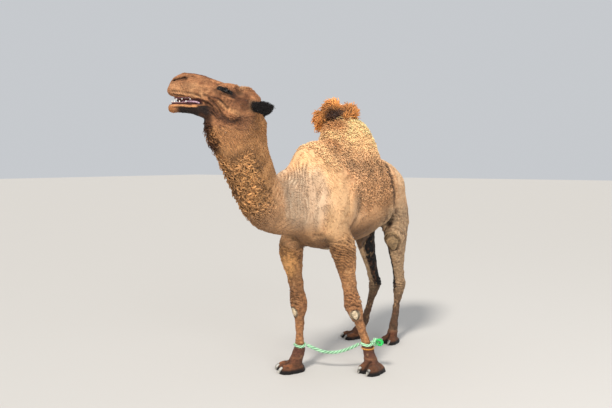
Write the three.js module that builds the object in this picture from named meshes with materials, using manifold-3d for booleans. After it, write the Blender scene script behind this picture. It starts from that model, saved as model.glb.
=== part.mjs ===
// A standing dromedary camel, life size, in millimetres.
// The animal faces -Y, its left side is +X and its soles rest on z = 0.
import * as THREE from "three";
import { mergeVertices } from "three/addons/utils/BufferGeometryUtils.js";
import Module from "manifold-3d";

const wasm = await Module();
wasm.setup();

// ---- Driving dimensions ----

const GAP = 0.3; // space between neighbouring nodes
const SPACE = 8000; // a block larger than the animal
const END_BULGE = 0.5; // how far a body's rounded end stands out, as a share of its half width
const CENTRE = new THREE.Vector2(83.5, -454.5); // middle of the plan outline, moved to the origin

// A section of a body: where its middle is, its half width, and its reach above and below
// (or before and behind, on a leg).
const section = (x, y, z, wide, front, back = front) => ({
  at: new THREE.Vector3(x, y, z),
  wide,
  front,
  back,
});

const TRUNK = [
  section(-20, -800, 1410, 90, 120, 130),
  section(-15, -690, 1400, 178, 392, 290),
  section(0, -560, 1395, 224, 455, 385),
  section(0, -400, 1395, 245, 475, 420),
  section(0, -180, 1400, 290, 430, 415),
  section(5, 40, 1410, 330, 390, 415),
  section(10, 260, 1430, 338, 345, 370),
  section(20, 450, 1450, 295, 290, 285),
  section(32, 620, 1455, 240, 232, 240),
  section(38, 745, 1470, 172, 165, 200),
  section(42, 815, 1485, 90, 90, 120),
];
const SHOULDER = { middle: 0, apart: 155, at: [-440, 1300], radii: [105, 150, 290] };
const PELVIS = { middle: 26, apart: 112, at: [505, 1540], radii: [120, 180, 115] };
const CHEST_PAD = { at: [0, -300, 1005], radii: [90, 115, 46] };

const HUMP = [
  section(20, -10, 1600, 250, 380),
  section(20, -25, 1740, 245, 370, 400),
  section(12, -66, 1940, 175, 295, 335),
  section(-4, -90, 2020, 120, 210, 250),
  section(-14, -100, 2075, 70, 120),
];
// The long wool on top of the hump: a mass with lobes round it.
const TUFT = [
  { at: [-40, -108, 2040], radii: [150, 170, 95] },
  { at: [-63, -145, 2122], radii: [78, 84, 80] },
  { at: [64, -62, 2100], radii: [68, 76, 68] },
  { at: [-132, -188, 2040], radii: [66, 72, 88] },
  { at: [10, -10, 2096], radii: [84, 84, 70] },
];

const NECK = [
  section(0, -480, 1450, 190, 330),
  section(-40, -720, 1400, 175, 260, 290),
  section(-78, -915, 1370, 152, 215, 228),
  section(-50, -1080, 1420, 132, 188, 205),
  section(-20, -1200, 1525, 122, 180, 188),
  section(10, -1340, 1690, 116, 180, 184),
  section(34, -1430, 1830, 114, 190, 204),
  section(58, -1490, 1950, 110, 190, 225),
  section(95, -1510, 2040, 92, 135, 150),
];
// Which way the back of the neck faces, from the withers up to the turned head.
const NECK_DORSAL = [
  [0, 0, 1],
  [0, 0.1, 1],
  [0, 0.35, 0.94],
  [0.05, 0.6, 0.8],
  [0.15, 0.75, 0.65],
  [0.3, 0.85, 0.45],
  [0.45, 0.85, 0.3],
  [0.65, 0.75, 0.15],
  [0.75, 0.65, 0.1],
];

const TAIL = [
  section(32, 770, 1540, 50, 50),
  section(38, 850, 1450, 34, 32),
  section(52, 880, 1280, 24, 22),
  section(66, 880, 1120, 20, 18),
];
const TASSEL = [
  section(66, 880, 1125, 24, 22),
  section(74, 876, 1040, 44, 38),
  section(80, 872, 960, 38, 32),
  section(84, 870, 900, 12, 12),
];

// The head in its own frame: y runs back from the nose tip, z up from it.
const HEAD = { nose: new THREE.Vector3(-246, -1812, 2105), turn: -50 };
const SKULL = [
  section(0, 10, 22, 26, 20, 34),
  section(0, 32, 34, 45, 40, 54),
  section(0, 60, 42, 56, 72, 66),
  section(0, 105, 48, 60, 94, 74),
  section(0, 160, 46, 56, 94, 78),
  section(0, 215, 36, 54, 92, 86),
  section(0, 270, 14, 60, 96, 104),
  section(0, 330, -22, 76, 108, 112),
  section(0, 390, -50, 92, 108, 118),
  section(0, 440, -60, 94, 120, 122),
  section(0, 500, -62, 86, 118, 114),
  section(0, 555, -66, 74, 92, 92),
];
const MANDIBLE = [
  section(0, 14, -78, 26, 20, 22),
  section(0, 38, -78, 41, 30, 32),
  section(0, 90, -76, 44, 32, 34),
  section(0, 150, -80, 44, 34, 36),
  section(0, 220, -96, 48, 42, 44),
  section(0, 300, -118, 54, 54, 56),
  section(0, 400, -134, 60, 60, 62),
  section(0, 455, -134, 56, 52, 56),
];
const EYE = { at: [82, 372, 22], radius: 20 };
const BROW = { at: [46, 388, 16], radii: [52, 84, 60] };
const CHEEK = { at: [44, 425, -84], radii: [46, 105, 98] };
const EAR = [
  section(64, 520, -62, 18, 20),
  section(84, 552, -78, 14, 34),
  section(102, 592, -84, 11, 44),
  section(112, 628, -82, 9, 34),
  section(118, 660, -78, 6, 10),
];
const UPPER_TEETH = { front: 48, reach: 130, half: 32, level: -18, height: -14, count: 7 };
const LOWER_TEETH = { front: 30, reach: 120, half: 31, level: -49, height: 16, count: 8 };
const JAW_ARC = Math.PI * 0.42; // how far a row of teeth runs round to each side
const GUM = { wide: 6, high: 5 };
const CROWN = { wide: 5, deep: 4 };
const TONGUE = [
  section(0, 92, -42, 9, 5),
  section(0, 125, -38, 16, 8),
  section(0, 175, -40, 20, 9),
  section(0, 225, -54, 20, 8),
];

// Leg joints. A foot's middle is on the floor, its toes turned from -Y by its own angle in degrees.
const LEGS = {
  left_fore: {
    root: [140, -440, 1300],
    bend: [206, -400, 1000],
    knee: [276, -351, 548],
    fetlock: [358, -247, 178],
    foot: [402, -243, 0],
    toes: -14,
  },
  right_fore: {
    root: [-140, -470, 1300],
    bend: [-192, -560, 1000],
    knee: [-126, -525, 540],
    fetlock: [-116, -535, 178],
    foot: [-154, -586, 0],
    toes: -38,
  },
  left_hind: {
    root: [160, 500, 1440],
    bend: [278, 420, 1010],
    knee: [204, 656, 530],
    fetlock: [176, 600, 165],
    foot: [166, 566, 0],
    toes: -8,
  },
  right_hind: {
    root: [-105, 505, 1440],
    bend: [-62, 440, 1010],
    knee: [-60, 680, 510],
    fetlock: [-128, 592, 160],
    foot: [-200, 492, 0],
    toes: -36,
  },
};

// Leg sections: the two joints between which each lies, how far along, and its size.
const legSection = (from, to, part, wide, front, back) => ({
  from,
  to,
  part,
  wide,
  front,
  back,
});
const FORE_SECTIONS = [
  legSection("root", "bend", 0, 60, 100, 110),
  legSection("root", "bend", 0.75, 104, 115, 120),
  legSection("bend", "knee", 0.05, 104, 104, 104),
  legSection("bend", "knee", 0.25, 88, 88, 86),
  legSection("bend", "knee", 0.5, 66, 68, 68),
  legSection("bend", "knee", 0.75, 60, 63, 64),
  legSection("bend", "knee", 1.0, 74, 82, 64),
  legSection("knee", "fetlock", 0.18, 60, 66, 54),
  legSection("knee", "fetlock", 0.36, 41, 42, 42),
  legSection("knee", "fetlock", 0.7, 35, 36, 38),
  legSection("knee", "fetlock", 1.0, 48, 50, 50),
  legSection("fetlock", "foot", 0.4, 54, 54, 54),
  legSection("fetlock", "foot", 0.75, 60, 60, 58),
];
const HIND_SECTIONS = [
  legSection("root", "bend", 0, 96, 190, 270),
  legSection("root", "bend", 0.4, 116, 200, 265),
  legSection("root", "bend", 0.72, 108, 165, 215),
  legSection("root", "bend", 1.0, 88, 122, 155),
  legSection("bend", "knee", 0.38, 64, 84, 88),
  legSection("bend", "knee", 0.7, 50, 62, 64),
  legSection("bend", "knee", 0.97, 62, 64, 68),
  legSection("knee", "fetlock", 0.2, 46, 48, 50),
  legSection("knee", "fetlock", 0.42, 34, 37, 37),
  legSection("knee", "fetlock", 0.8, 34, 37, 36),
  legSection("knee", "fetlock", 1.0, 44, 47, 46),
  legSection("fetlock", "foot", 0.4, 48, 50, 48),
  legSection("fetlock", "foot", 0.75, 52, 54, 52),
];

const PASTERN_TWIST = 0.6; // how much of the foot's turn the pastern takes

// A foot in its own frame: toes towards -Y, sole at z = 0.
const PAD = { at: [0, 12, 0], radii: [88, 96, 74] };
const TOE = { apart: 45, at: [0, -44, 0], radii: [50, 78, 72] };
const NAIL = [
  section(0, -96, 46, 14, 12),
  section(0, -114, 30, 14, 12),
  section(0, -122, 12, 10, 8),
];
const FORE_FOOT_SCALE = 1.05;
const HIND_FOOT_SCALE = 0.9;

// Hobble: a rope between the fore pasterns, with a loop on each, a knot on the left one
// and a thin cord tied below it.
const ROPE_RADIUS = 14;
const LOOP_INNER = 42;
const LOOP_HEIGHT = { left: 226, right: 206 };
const KNOT = { at: [420, -218, 238], radii: [56, 44, 38] };
const CORD = { height: 192, inner: 48, radius: 7 };
const SPAN = [
  [-66, -503, 205],
  [0, -465, 172],
  [57, -432, 152],
  [140, -388, 152],
  [230, -342, 184],
  [298, -291, 222],
];

// Planes that part the flesh into nodes: each passes through a point and faces the node.
const plane = (through, facing) => ({ through, facing });
// In the head's frame.
const THROAT_TOP = plane([0, 0, -150], [0, 0.14, 1]);
const MOUTH_LINE = plane([0, 0, -34], [0, -0.12, -1]);
const JAW_BACK = plane([0, 470, 0], [0, -1, 0.15]);
const HEAD_BACK = plane([0, 540, -140], [0, -1, 0.62]);
// In the animal's frame.
const NECK_BASE = plane([-40, -760, 1400], [-0.05, -1, 0.15]);
const HUMP_BASE = plane([0, 0, 1800], [0, 0.06, 1]);
const HUMP_FRONT = plane([0, -360, 1800], [0, 1, 0.35]);
const TAIL_ROOT = plane([40, 815, 1500], [0, 1, 0]);
const ANKLE = plane([0, 0, 112], [0, 0, -1]);
const FLOOR = plane([0, 0, 0], [0, 0, 1]);
// The top of each limb slopes up and outwards; out is 1 on the left and -1 on the right.
const FORE_LIMB = (out) => [
  plane([70 * out, 0, 975], [0.5 * out, 0, -0.85]),
  plane([0, -60, 0], [0, -1, 0]),
  plane([30, 0, 0], [out, 0, 0]),
];
const HIND_LIMB = (out) => [
  plane([20 + 45 * out, 0, 1130], [0.55 * out, 0, -0.83]),
  plane([0, 180, 0], [0, 1, 0]),
  plane([62, 0, 0], [out, 0, 0]),
];

const COLOURS = {
  coat: 0xb98a5e,
  face: 0x8a5a3a,
  dark: 0x3a2a22,
  wool: 0xa06a38,
  leg: 0x8d6446,
  foot: 0x4a3426,
  nail: 0x2c2724,
  eye: 0x150d0a,
  tooth: 0xd9cfb8,
  tongue: 0xa8706a,
  rope: 0x6fd0a0,
  cord: 0xc08038,
};

// ---- Solids ----

// A closed three.js geometry as a manifold-3d solid, turned the right way out.
function solid(geometry) {
  const bare = geometry.clone();
  bare.deleteAttribute("normal");
  bare.deleteAttribute("uv");
  const merged = mergeVertices(bare, 1e-3);
  const triVerts = new Uint32Array(merged.index.array);
  const vertProperties = merged.attributes.position.array;
  const make = () =>
    new wasm.Manifold(new wasm.Mesh({ numProp: 3, vertProperties, triVerts }));
  const made = make();
  if (made.volume() > 0) return made;
  for (let i = 0; i < triVerts.length; i += 3)
    [triVerts[i + 1], triVerts[i + 2]] = [triVerts[i + 2], triVerts[i + 1]];
  return make();
}

function join(...solids) {
  return solids.reduce((a, b) => a.add(b));
}

function mesh(name, body, colour, roughness = 0.9) {
  const { vertProperties, triVerts } = body.getMesh();
  const geometry = new THREE.BufferGeometry()
    .setAttribute("position", new THREE.BufferAttribute(vertProperties, 3))
    .setIndex(new THREE.BufferAttribute(triVerts, 1));
  geometry.computeVertexNormals();
  const made = new THREE.Mesh(
    geometry,
    new THREE.MeshStandardMaterial({ color: colour, roughness, metalness: 0 }),
  );
  made.name = name;
  return made;
}

// A body swept along a smooth spine through its sections: a sphere whose rows become the rings.
function loft(sections, options = {}) {
  const { dorsal = [0, 0, 1], sides = 20, rows = 3, grow = 0, capRows = 3 } = options;
  const spine = new THREE.CatmullRomCurve3(sections.map((s) => s.at));
  const girth = new THREE.CatmullRomCurve3(
    sections.map((s) => new THREE.Vector3(s.wide, s.front, s.back)),
  );
  const hints = Array.isArray(dorsal[0]) ? dorsal : sections.map(() => dorsal);
  const lie = new THREE.CatmullRomCurve3(hints.map((h) => new THREE.Vector3(...h)));
  const bodyRows = rows * (sections.length - 1);
  const allRows = bodyRows + 2 * capRows;
  const geometry = new THREE.SphereGeometry(1, sides, allRows);
  const position = geometry.attributes.position;
  const vertex = new THREE.Vector3();
  for (let row = 0; row <= allRows; row++) {
    const along = THREE.MathUtils.clamp((row - capRows) / bodyRows, 0, 1);
    const centre = spine.getPoint(along);
    const heading = spine.getTangent(along);
    const size = girth.getPoint(along).addScalar(grow);
    const side = new THREE.Vector3().crossVectors(heading, lie.getPoint(along)).normalize();
    const up = new THREE.Vector3().crossVectors(side, heading);
    const before = Math.max(capRows - row, 0);
    const after = Math.max(row - capRows - bodyRows, 0);
    const round = ((before + after) / capRows) * (Math.PI / 2);
    const bulge = END_BULGE * Math.min(size.x, size.y) * Math.sin(round);
    centre.addScaledVector(heading, after ? bulge : before ? -bulge : 0);
    for (let i = 0; i <= sides; i++) {
      const angle = (2 * Math.PI * (i % sides)) / sides;
      const across = size.x * Math.cos(angle) * Math.cos(round);
      const rise = Math.sin(angle) * Math.cos(round);
      vertex.copy(centre).addScaledVector(side, across);
      vertex.addScaledVector(up, rise * (rise > 0 ? size.y : size.z));
      position.setXYZ(row * (sides + 1) + i, vertex.x, vertex.y, vertex.z);
    }
  }
  return solid(geometry);
}

function ellipsoid({ at, radii }, mirror = 1, sides = 10) {
  const geometry = new THREE.SphereGeometry(1, sides, Math.round(sides * 0.6));
  geometry.rotateX(Math.PI / 2);
  geometry.scale(...radii);
  geometry.translate(at[0] * mirror, at[1], at[2]);
  return solid(geometry);
}

// Half an ellipsoid on the floor, with a flat sole.
function dome({ at, radii }) {
  const steps = 3;
  const arc = Array.from({ length: steps }, (_, i) => (i / steps) * (Math.PI / 2));
  const rising = arc.map((a) => new THREE.Vector2(Math.cos(a), Math.sin(a)));
  const profile = [new THREE.Vector2(0, 0), ...rising, new THREE.Vector2(0, 1)];
  const geometry = new THREE.LatheGeometry(profile, 8);
  geometry.rotateX(Math.PI / 2);
  geometry.scale(...radii);
  geometry.translate(...at);
  return solid(geometry);
}

// The space on the facing side of every plane, each given by a point and a direction.
function space(planes, grow) {
  return planes.reduce(
    (room, { through, facing }) => {
      const normal = new THREE.Vector3(...facing).normalize();
      const offset = normal.dot(new THREE.Vector3(...through)) - grow;
      return room.trimByPlane(normal.toArray(), offset);
    },
    solid(new THREE.BoxGeometry(SPACE, SPACE, SPACE)),
  );
}

// Cuts off what lies in a space, with the gap between the two pieces.
function part(body, planes) {
  return {
    piece: body.intersect(space(planes, -GAP / 2)),
    rest: body.subtract(space(planes, GAP / 2)),
  };
}

// ---- The head, in its own frame ----

const headFrame = new THREE.Matrix4()
  .makeTranslation(HEAD.nose)
  .multiply(new THREE.Matrix4().makeRotationZ(THREE.MathUtils.degToRad(HEAD.turn)));

const onHead = (body) => body.transform(headFrame.elements);
const headPlane = ({ through, facing }) =>
  plane(
    new THREE.Vector3(...through).applyMatrix4(headFrame).toArray(),
    new THREE.Vector3(...facing).transformDirection(headFrame).toArray(),
  );

function skull() {
  const sides = [1, -1].flatMap((m) => [ellipsoid(BROW, m), ellipsoid(CHEEK, m)]);
  return join(loft(SKULL, { sides: 12, rows: 1, capRows: 2 }), ...sides);
}

function ear(mirror, grow) {
  const shape = EAR.map((s) => ({ ...s, at: s.at.clone().setX(s.at.x * mirror) }));
  return onHead(loft(shape, { sides: 10, rows: 1, capRows: 2, grow }));
}

function eye(mirror, grow) {
  const radius = EYE.radius + grow;
  return onHead(ellipsoid({ at: EYE.at, radii: [radius, radius, radius] }, mirror));
}

// A row of teeth round the front of a jaw, joined by the gum.
function teeth({ front, reach, half, level, height, count }, grow) {
  const place = (angle) => [half * Math.sin(angle), front + reach * (1 - Math.cos(angle)), level];
  const angles = Array.from({ length: count }, (_, i) => JAW_ARC * ((2 * i) / (count - 1) - 1));
  const gum = loft(
    angles.map((a) => section(...place(a), GUM.wide, GUM.high)),
    { sides: 5, rows: 1, capRows: 1, grow },
  );
  const crowns = angles.map((a) => {
    const [x, y, z] = place(a);
    const radii = [CROWN.wide, CROWN.deep, Math.abs(height) / 2];
    return ellipsoid({ at: [x, y, z + height / 2], radii }, 1, 5);
  });
  return onHead(grow ? gum : join(gum, ...crowns));
}

// ---- The legs ----

const isFore = (name) => name.endsWith("fore");
const outward = (name) => (name.startsWith("left") ? 1 : -1);

function legLoft(name) {
  const leg = LEGS[name];
  const sections = isFore(name) ? FORE_SECTIONS : HIND_SECTIONS;
  const shape = sections.map(({ from, to, part: share, wide, front, back }) => {
    const at = new THREE.Vector3(...leg[from]).lerp(new THREE.Vector3(...leg[to]), share);
    return section(at.x, at.y, at.z, wide, front, back);
  });
  const turn = THREE.MathUtils.degToRad(leg.toes);
  const lower = [Math.sin(turn) * PASTERN_TWIST, -1, 0];
  const hints = sections.map(({ from }) => (from === "fetlock" ? lower : [0, -1, 0]));
  return loft(shape, { dorsal: hints, sides: 10, rows: 1, capRows: 1 });
}

function onFoot(name, body) {
  const leg = LEGS[name];
  const scale = isFore(name) ? FORE_FOOT_SCALE : HIND_FOOT_SCALE;
  const frame = new THREE.Matrix4()
    .makeTranslation(...leg.foot)
    .multiply(new THREE.Matrix4().makeRotationZ(THREE.MathUtils.degToRad(leg.toes)))
    .multiply(new THREE.Matrix4().makeScale(scale, scale, scale));
  return body.transform(frame.elements);
}

function foot(name) {
  const toes = [1, -1].map((side) => dome({ ...TOE, at: [TOE.apart * side, TOE.at[1], 0] }));
  return onFoot(name, join(dome(PAD), ...toes));
}

function nail(name, side, grow) {
  const shape = NAIL.map((s) => ({ ...s, at: s.at.clone().setX(TOE.apart * side) }));
  return onFoot(name, loft(shape, { sides: 6, rows: 1, capRows: 2, dorsal: [0, -1, 1], grow }));
}

// A ring round a foreleg at a height.
function ring(name, height, inner, radius, grow) {
  const { knee, fetlock } = LEGS[name];
  const share = (knee[2] - height) / (knee[2] - fetlock[2]);
  const at = new THREE.Vector3(...knee).lerp(new THREE.Vector3(...fetlock), share);
  const geometry = new THREE.TorusGeometry(inner, radius + grow, 6, 12);
  geometry.translate(at.x, at.y, at.z);
  return solid(geometry);
}

const loop = (side, grow) =>
  ring(side + "_fore", LOOP_HEIGHT[side], LOOP_INNER, ROPE_RADIUS, grow);
const ankleCord = (grow) => ring("left_fore", CORD.height, CORD.inner, CORD.radius, grow);
const knot = (grow) =>
  ellipsoid({ at: KNOT.at, radii: KNOT.radii.map((r) => r + grow) })
    .subtract(loop("left", GAP - grow))
    .subtract(ankleCord(GAP - grow));

// The rope that hangs between the two loops.
function span() {
  const path = new THREE.CatmullRomCurve3(SPAN.map((p) => new THREE.Vector3(...p)));
  const outline = new THREE.Shape().absarc(0, 0, ROPE_RADIUS, 0, 2 * Math.PI);
  return solid(
    new THREE.ExtrudeGeometry(outline, { extrudePath: path, steps: 10, curveSegments: 4 }),
  );
}

// ---- Assembly ----

const camel = new THREE.Group();
const keep = (name, body, colour, roughness) =>
  camel.add(mesh(name, body, colour, roughness));

const trunk = loft(TRUNK, { sides: 16, rows: 2, capRows: 2 });
const hump = (grow) => loft(HUMP, { sides: 14, rows: 2, capRows: 2, dorsal: [0, 1, 0], grow });
const muscles = [SHOULDER, PELVIS].flatMap(({ middle, apart, at, radii }) =>
  [apart, -apart].map((across) => ellipsoid({ at: [middle + across, ...at], radii })),
);
const neck = loft(NECK, { dorsal: NECK_DORSAL, sides: 14, rows: 2, capRows: 1 });
const faceBones = onHead(join(skull(), loft(MANDIBLE, { sides: 10, rows: 1, capRows: 2 })));
const limbs = Object.keys(LEGS).flatMap((name) => [legLoft(name), foot(name)]);
const tail = loft(TAIL, { sides: 8, rows: 1, capRows: 1 });
let flesh = join(trunk, hump(0), ...muscles, ellipsoid(CHEST_PAD), neck, faceBones, ...limbs, tail);
flesh = flesh.intersect(space([FLOOR], 0));

// Sets a piece into the flesh, with the gap round it.
function setIn(name, make, colour, roughness) {
  flesh = flesh.subtract(make(GAP));
  keep(name, make(0), colour, roughness);
}

for (const [side, mirror] of [["left", 1], ["right", -1]]) {
  setIn(side + "_eye", (grow) => eye(mirror, grow), COLOURS.eye, 0.1);
  setIn(side + "_ear", (grow) => ear(mirror, grow), COLOURS.dark);
  setIn("hobble_loop_" + side, (grow) => loop(side, grow), COLOURS.rope);
}
for (const name of Object.keys(LEGS))
  for (const [place, side] of [["inner", -1], ["outer", 1]])
    setIn(
      name + "_nail_" + place,
      (grow) => nail(name, side * outward(name), grow),
      COLOURS.nail,
      0.5,
    );
setIn("upper_teeth", (grow) => teeth(UPPER_TEETH, grow), COLOURS.tooth, 0.4);
setIn("lower_teeth", (grow) => teeth(LOWER_TEETH, grow), COLOURS.tooth, 0.4);
const tongue = (grow) => onHead(loft(TONGUE, { sides: 10, rows: 1, capRows: 2, grow }));
setIn("tongue", tongue, COLOURS.tongue, 0.4);
setIn("ankle_cord", ankleCord, COLOURS.cord);
setIn("hobble_knot", knot, COLOURS.rope);
keep("hobble_span", span(), COLOURS.rope);

const tuft = join(...TUFT.map((lobe) => ellipsoid(lobe, 1, 7)));
keep("hump_tuft", tuft.subtract(hump(GAP)), COLOURS.wool);
const tassel = loft(TASSEL, { sides: 10, rows: 1, capRows: 2 });
const tailHole = loft(TAIL, { sides: 8, rows: 1, capRows: 1, grow: GAP });
keep("tail_tassel", tassel.subtract(tailHole), COLOURS.dark);

// Cuts a node off the flesh.
function cutOff(name, planes, colour) {
  const { piece, rest } = part(flesh, planes);
  flesh = rest;
  keep(name, piece, colour);
}

cutOff("lower_jaw", [MOUTH_LINE, THROAT_TOP, JAW_BACK].map(headPlane), COLOURS.face);
cutOff("head", [THROAT_TOP, HEAD_BACK].map(headPlane), COLOURS.face);
cutOff("neck", [NECK_BASE], COLOURS.coat);
cutOff("hump", [HUMP_BASE, HUMP_FRONT], COLOURS.coat);
cutOff("tail", [TAIL_ROOT], COLOURS.coat);
for (const name of Object.keys(LEGS)) {
  const limb = (isFore(name) ? FORE_LIMB : HIND_LIMB)(outward(name));
  cutOff(name + "foot", [...limb, ANKLE], COLOURS.foot);
  cutOff(name + "leg", limb, COLOURS.leg);
}
keep("trunk", flesh, COLOURS.coat);

camel.position.set(-CENTRE.x, -CENTRE.y, 0);
export default camel;
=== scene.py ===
"""Skin, coat, eyes, teeth, nails and hobble of a standing dromedary camel, life size, in metres."""

import math

import bmesh
import bpy
import numpy as np
from bpy.props import FloatProperty, FloatVectorProperty, IntProperty, PointerProperty
from mathutils import Matrix, Vector
from mathutils.bvhtree import BVHTree


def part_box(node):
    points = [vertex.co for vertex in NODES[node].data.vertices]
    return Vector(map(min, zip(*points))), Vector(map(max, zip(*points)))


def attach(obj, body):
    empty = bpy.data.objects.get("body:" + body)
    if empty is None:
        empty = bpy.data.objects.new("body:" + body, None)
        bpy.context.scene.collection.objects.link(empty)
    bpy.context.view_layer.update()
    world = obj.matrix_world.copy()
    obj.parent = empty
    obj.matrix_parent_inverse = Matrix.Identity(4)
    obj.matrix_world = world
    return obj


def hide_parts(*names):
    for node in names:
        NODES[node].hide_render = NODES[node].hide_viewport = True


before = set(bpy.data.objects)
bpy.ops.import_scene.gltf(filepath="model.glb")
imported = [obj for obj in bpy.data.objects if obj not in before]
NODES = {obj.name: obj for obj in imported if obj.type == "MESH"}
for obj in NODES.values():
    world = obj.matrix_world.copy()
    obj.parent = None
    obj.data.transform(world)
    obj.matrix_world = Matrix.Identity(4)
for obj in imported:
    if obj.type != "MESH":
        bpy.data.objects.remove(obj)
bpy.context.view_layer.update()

bl_info = {
    "name": "Dromedary camel",
    "version": (1, 0, 0),
    "blender": (4, 5, 0),
    "location": "View3D > Sidebar > Camel",
    "description": "Builds the skin, coat, eyes, teeth, nails and rope hobble of a standing camel",
    "category": "Object",
}

ROOT = "root"
MM = 0.001


def at(x, y, z):
    """A place in the frame from millimetres, where the animal's own origin is under its chest."""
    return Vector(((x - 83.5) * MM, (y + 454.5) * MM, z * MM))


# The head's own frame: y runs back from the nose tip, x to the animal's left, z up.
HEAD = Matrix.Translation(at(-246, -1812, 2105)) @ Matrix.Rotation(math.radians(-50), 4, "Z")
TO_HEAD = HEAD.inverted()


def on_head(x, y, z):
    """A place in the room from millimetres in the head's frame."""
    return HEAD @ Vector((x * MM, y * MM, z * MM))


def on_way(way):
    """A direction given in the head's frame."""
    return tuple(HEAD.to_3x3() @ Vector(way))


def eye_axes(side):
    """The ways out of an eye, back along its slit and up across it, in the head's frame."""
    out = Vector((side, -0.22, 0.12)).normalized()
    slant = Vector((0, math.cos(EYE_SLANT), math.sin(EYE_SLANT)))
    back = (slant - out * slant.dot(out)).normalized()
    up = out.cross(back) * side
    return np.array(out), np.array(back), np.array(up)


def eye_centres():
    """The middles of the left and the right eyeball."""
    return [on_head(EYE_AT[0] * side, *EYE_AT[1:]) for side in (1, -1)]


CAMERA_PLACE = (2.5187, -4.0204, 1.68)
CAMERA_TURN = (math.radians(90 - 3.909), 0, math.radians(34))
LENS = 35.294

LEG_NAMES = ("left_fore", "right_fore", "left_hind", "right_hind")
BODY_NODES = ["trunk", "neck", "hump", "tail"] + [
    f"{leg}{end}" for leg in LEG_NAMES for end in ("leg", "foot")
]
HEAD_NODES = ["head", "lower_jaw", "left_ear", "right_ear"]

NECK_SPINE = [
    at(0, -480, 1450), at(-40, -720, 1400), at(-78, -915, 1370), at(-50, -1080, 1420),
    at(-20, -1200, 1525), at(10, -1340, 1690), at(34, -1430, 1830), at(58, -1490, 1950),
    at(95, -1510, 2040),
]
BEARD_LINE = [
    at(-58, -1662, 1905), at(-50, -1652, 1870), at(-38, -1632, 1815), at(-27, -1606, 1768),
]
LEG_LINES = {
    "left_fore": [at(206, -400, 1000), at(276, -351, 548), at(358, -247, 178), at(402, -243, 0)],
    "right_fore": [at(-192, -560, 1000), at(-126, -525, 540), at(-116, -535, 178), at(-154, -586, 0)],
    "left_hind": [at(278, 420, 1010), at(204, 656, 530), at(176, 600, 165), at(166, 566, 0)],
    "right_hind": [at(-62, 440, 1010), at(-60, 680, 510), at(-128, 592, 160), at(-200, 492, 0)],
}
FORE_CALLUSES = (at(315, -392, 478), at(-145, -600, 478))
STIFLE_CALLUSES = (at(280, 312, 985), at(-60, 300, 985))
FORE_RIM = (43, 50)
STIFLE_RIM = (92, 106)
HOCKS = (at(206, 640, 545), at(-60, 680, 525))
# Where parts meet and are softened: a place, a reach in millimetres and a number of passes.
MEETINGS = (
    (on_head(20, 500, -170), 170, 10),
    (on_head(10, 330, -190), 120, 8),
    (at(0, -700, 1400), 380, 16),
    (at(-200, -600, 1075), 150, 26),
    (at(230, -480, 1085), 150, 26),
)
CREST = at(15, -240, 1985)
TOES = {"left_fore": -14, "right_fore": -38, "left_hind": -8, "right_hind": -36}
# The sheath under the belly: two ellipsoids, each a place and its radii in metres.
SHEATH = ((at(30, 235, 1035), (0.050, 0.120, 0.060)), (at(30, 205, 972), (0.026, 0.046, 0.066)))
BODY_VOXEL = 0.013
HEAD_VOXEL = 0.005
SKIN_VOXEL = 0.0062
SOLE_LEVEL = 0.0008
SKIN_TRIANGLES = 195000

EYE_AT = (82, 372, 22)
EYE_RADIUS = 20
EYE_SLANT = math.radians(-25)

ROPE_DIAMETER = 0.028
ROPE_PATH = [
    at(-66, -503, 205), at(0, -465, 172), at(57, -432, 152), at(140, -388, 152),
    at(230, -342, 184), at(298, -291, 222),
]


def crease_line(out):
    """The fold between the barrel and the haunch, on the side that out says."""
    path = ((205, 240, 1745), (254, 232, 1663), (322, 196, 1552), (344, 214, 1406), (300, 300, 1249),
            (262, 290, 1150), (215, 250, 1085))
    return [at(10 + (x - 10) * out, y + 10, z) for x, y, z in path]


def callus_rim(points, normals, centre, wide, tall):
    """A ring on the skin round a callus."""
    near = np.argsort(((points - np.array(centre)) ** 2).sum(1))[:60]
    facing = Vector(unit(normals[near].mean(0)))
    middle = Vector(points[near[:12]].mean(0))
    aside = Vector((0, 0, 1)).cross(facing).normalized()
    over = facing.cross(aside)
    turns = np.linspace(0, 2 * math.pi, 20)
    return [middle + (aside * wide * math.cos(t) + over * tall * math.sin(t)) * MM for t in turns]


def linear(red, green, blue):
    """A screen colour, 0 to 255, as the renderer's linear colour."""
    def one(value):
        value /= 255
        return value / 12.92 if value < 0.04045 else ((value + 0.055) / 1.055) ** 2.4
    return (one(red), one(green), one(blue))


# ---- Meshes as arrays ----


def coords(mesh):
    """The mesh's points, one to a row."""
    flat = np.empty(len(mesh.vertices) * 3)
    mesh.vertices.foreach_get("co", flat)
    return flat.reshape(-1, 3)


def set_coords(mesh, points):
    """Moves the mesh's points to the given places."""
    mesh.vertices.foreach_set("co", points.astype(np.float32).ravel())
    mesh.update()


def normals_of(mesh):
    """The way out of the surface at each point."""
    flat = np.empty(len(mesh.vertices) * 3)
    mesh.vertex_normals.foreach_get("vector", flat)
    return flat.reshape(-1, 3)


def links_of(mesh):
    """Both ends of every edge, each way round, and how many edges meet at each point."""
    ends = np.empty(len(mesh.edges) * 2, np.int64)
    mesh.edges.foreach_get("vertices", ends)
    ends = ends.reshape(-1, 2)
    here = np.concatenate((ends[:, 0], ends[:, 1]))
    there = np.concatenate((ends[:, 1], ends[:, 0]))
    return here, there, np.maximum(np.bincount(here, minlength=len(mesh.vertices)), 1)


def relax(values, links, weight, passes):
    """Moves each point's values towards the mean of its neighbours'."""
    here, there, count = links
    weight = np.broadcast_to(weight, len(values))[:, None]
    for _ in range(passes):
        sums = [np.bincount(here, values[there, k], len(values)) for k in range(values.shape[1])]
        values = values + (np.stack(sums, 1) / count[:, None] - values) * weight
    return values


def unit(vectors):
    """The same ways, each one long."""
    return vectors / np.maximum(np.linalg.norm(vectors, axis=-1, keepdims=True), 1e-9)


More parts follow.
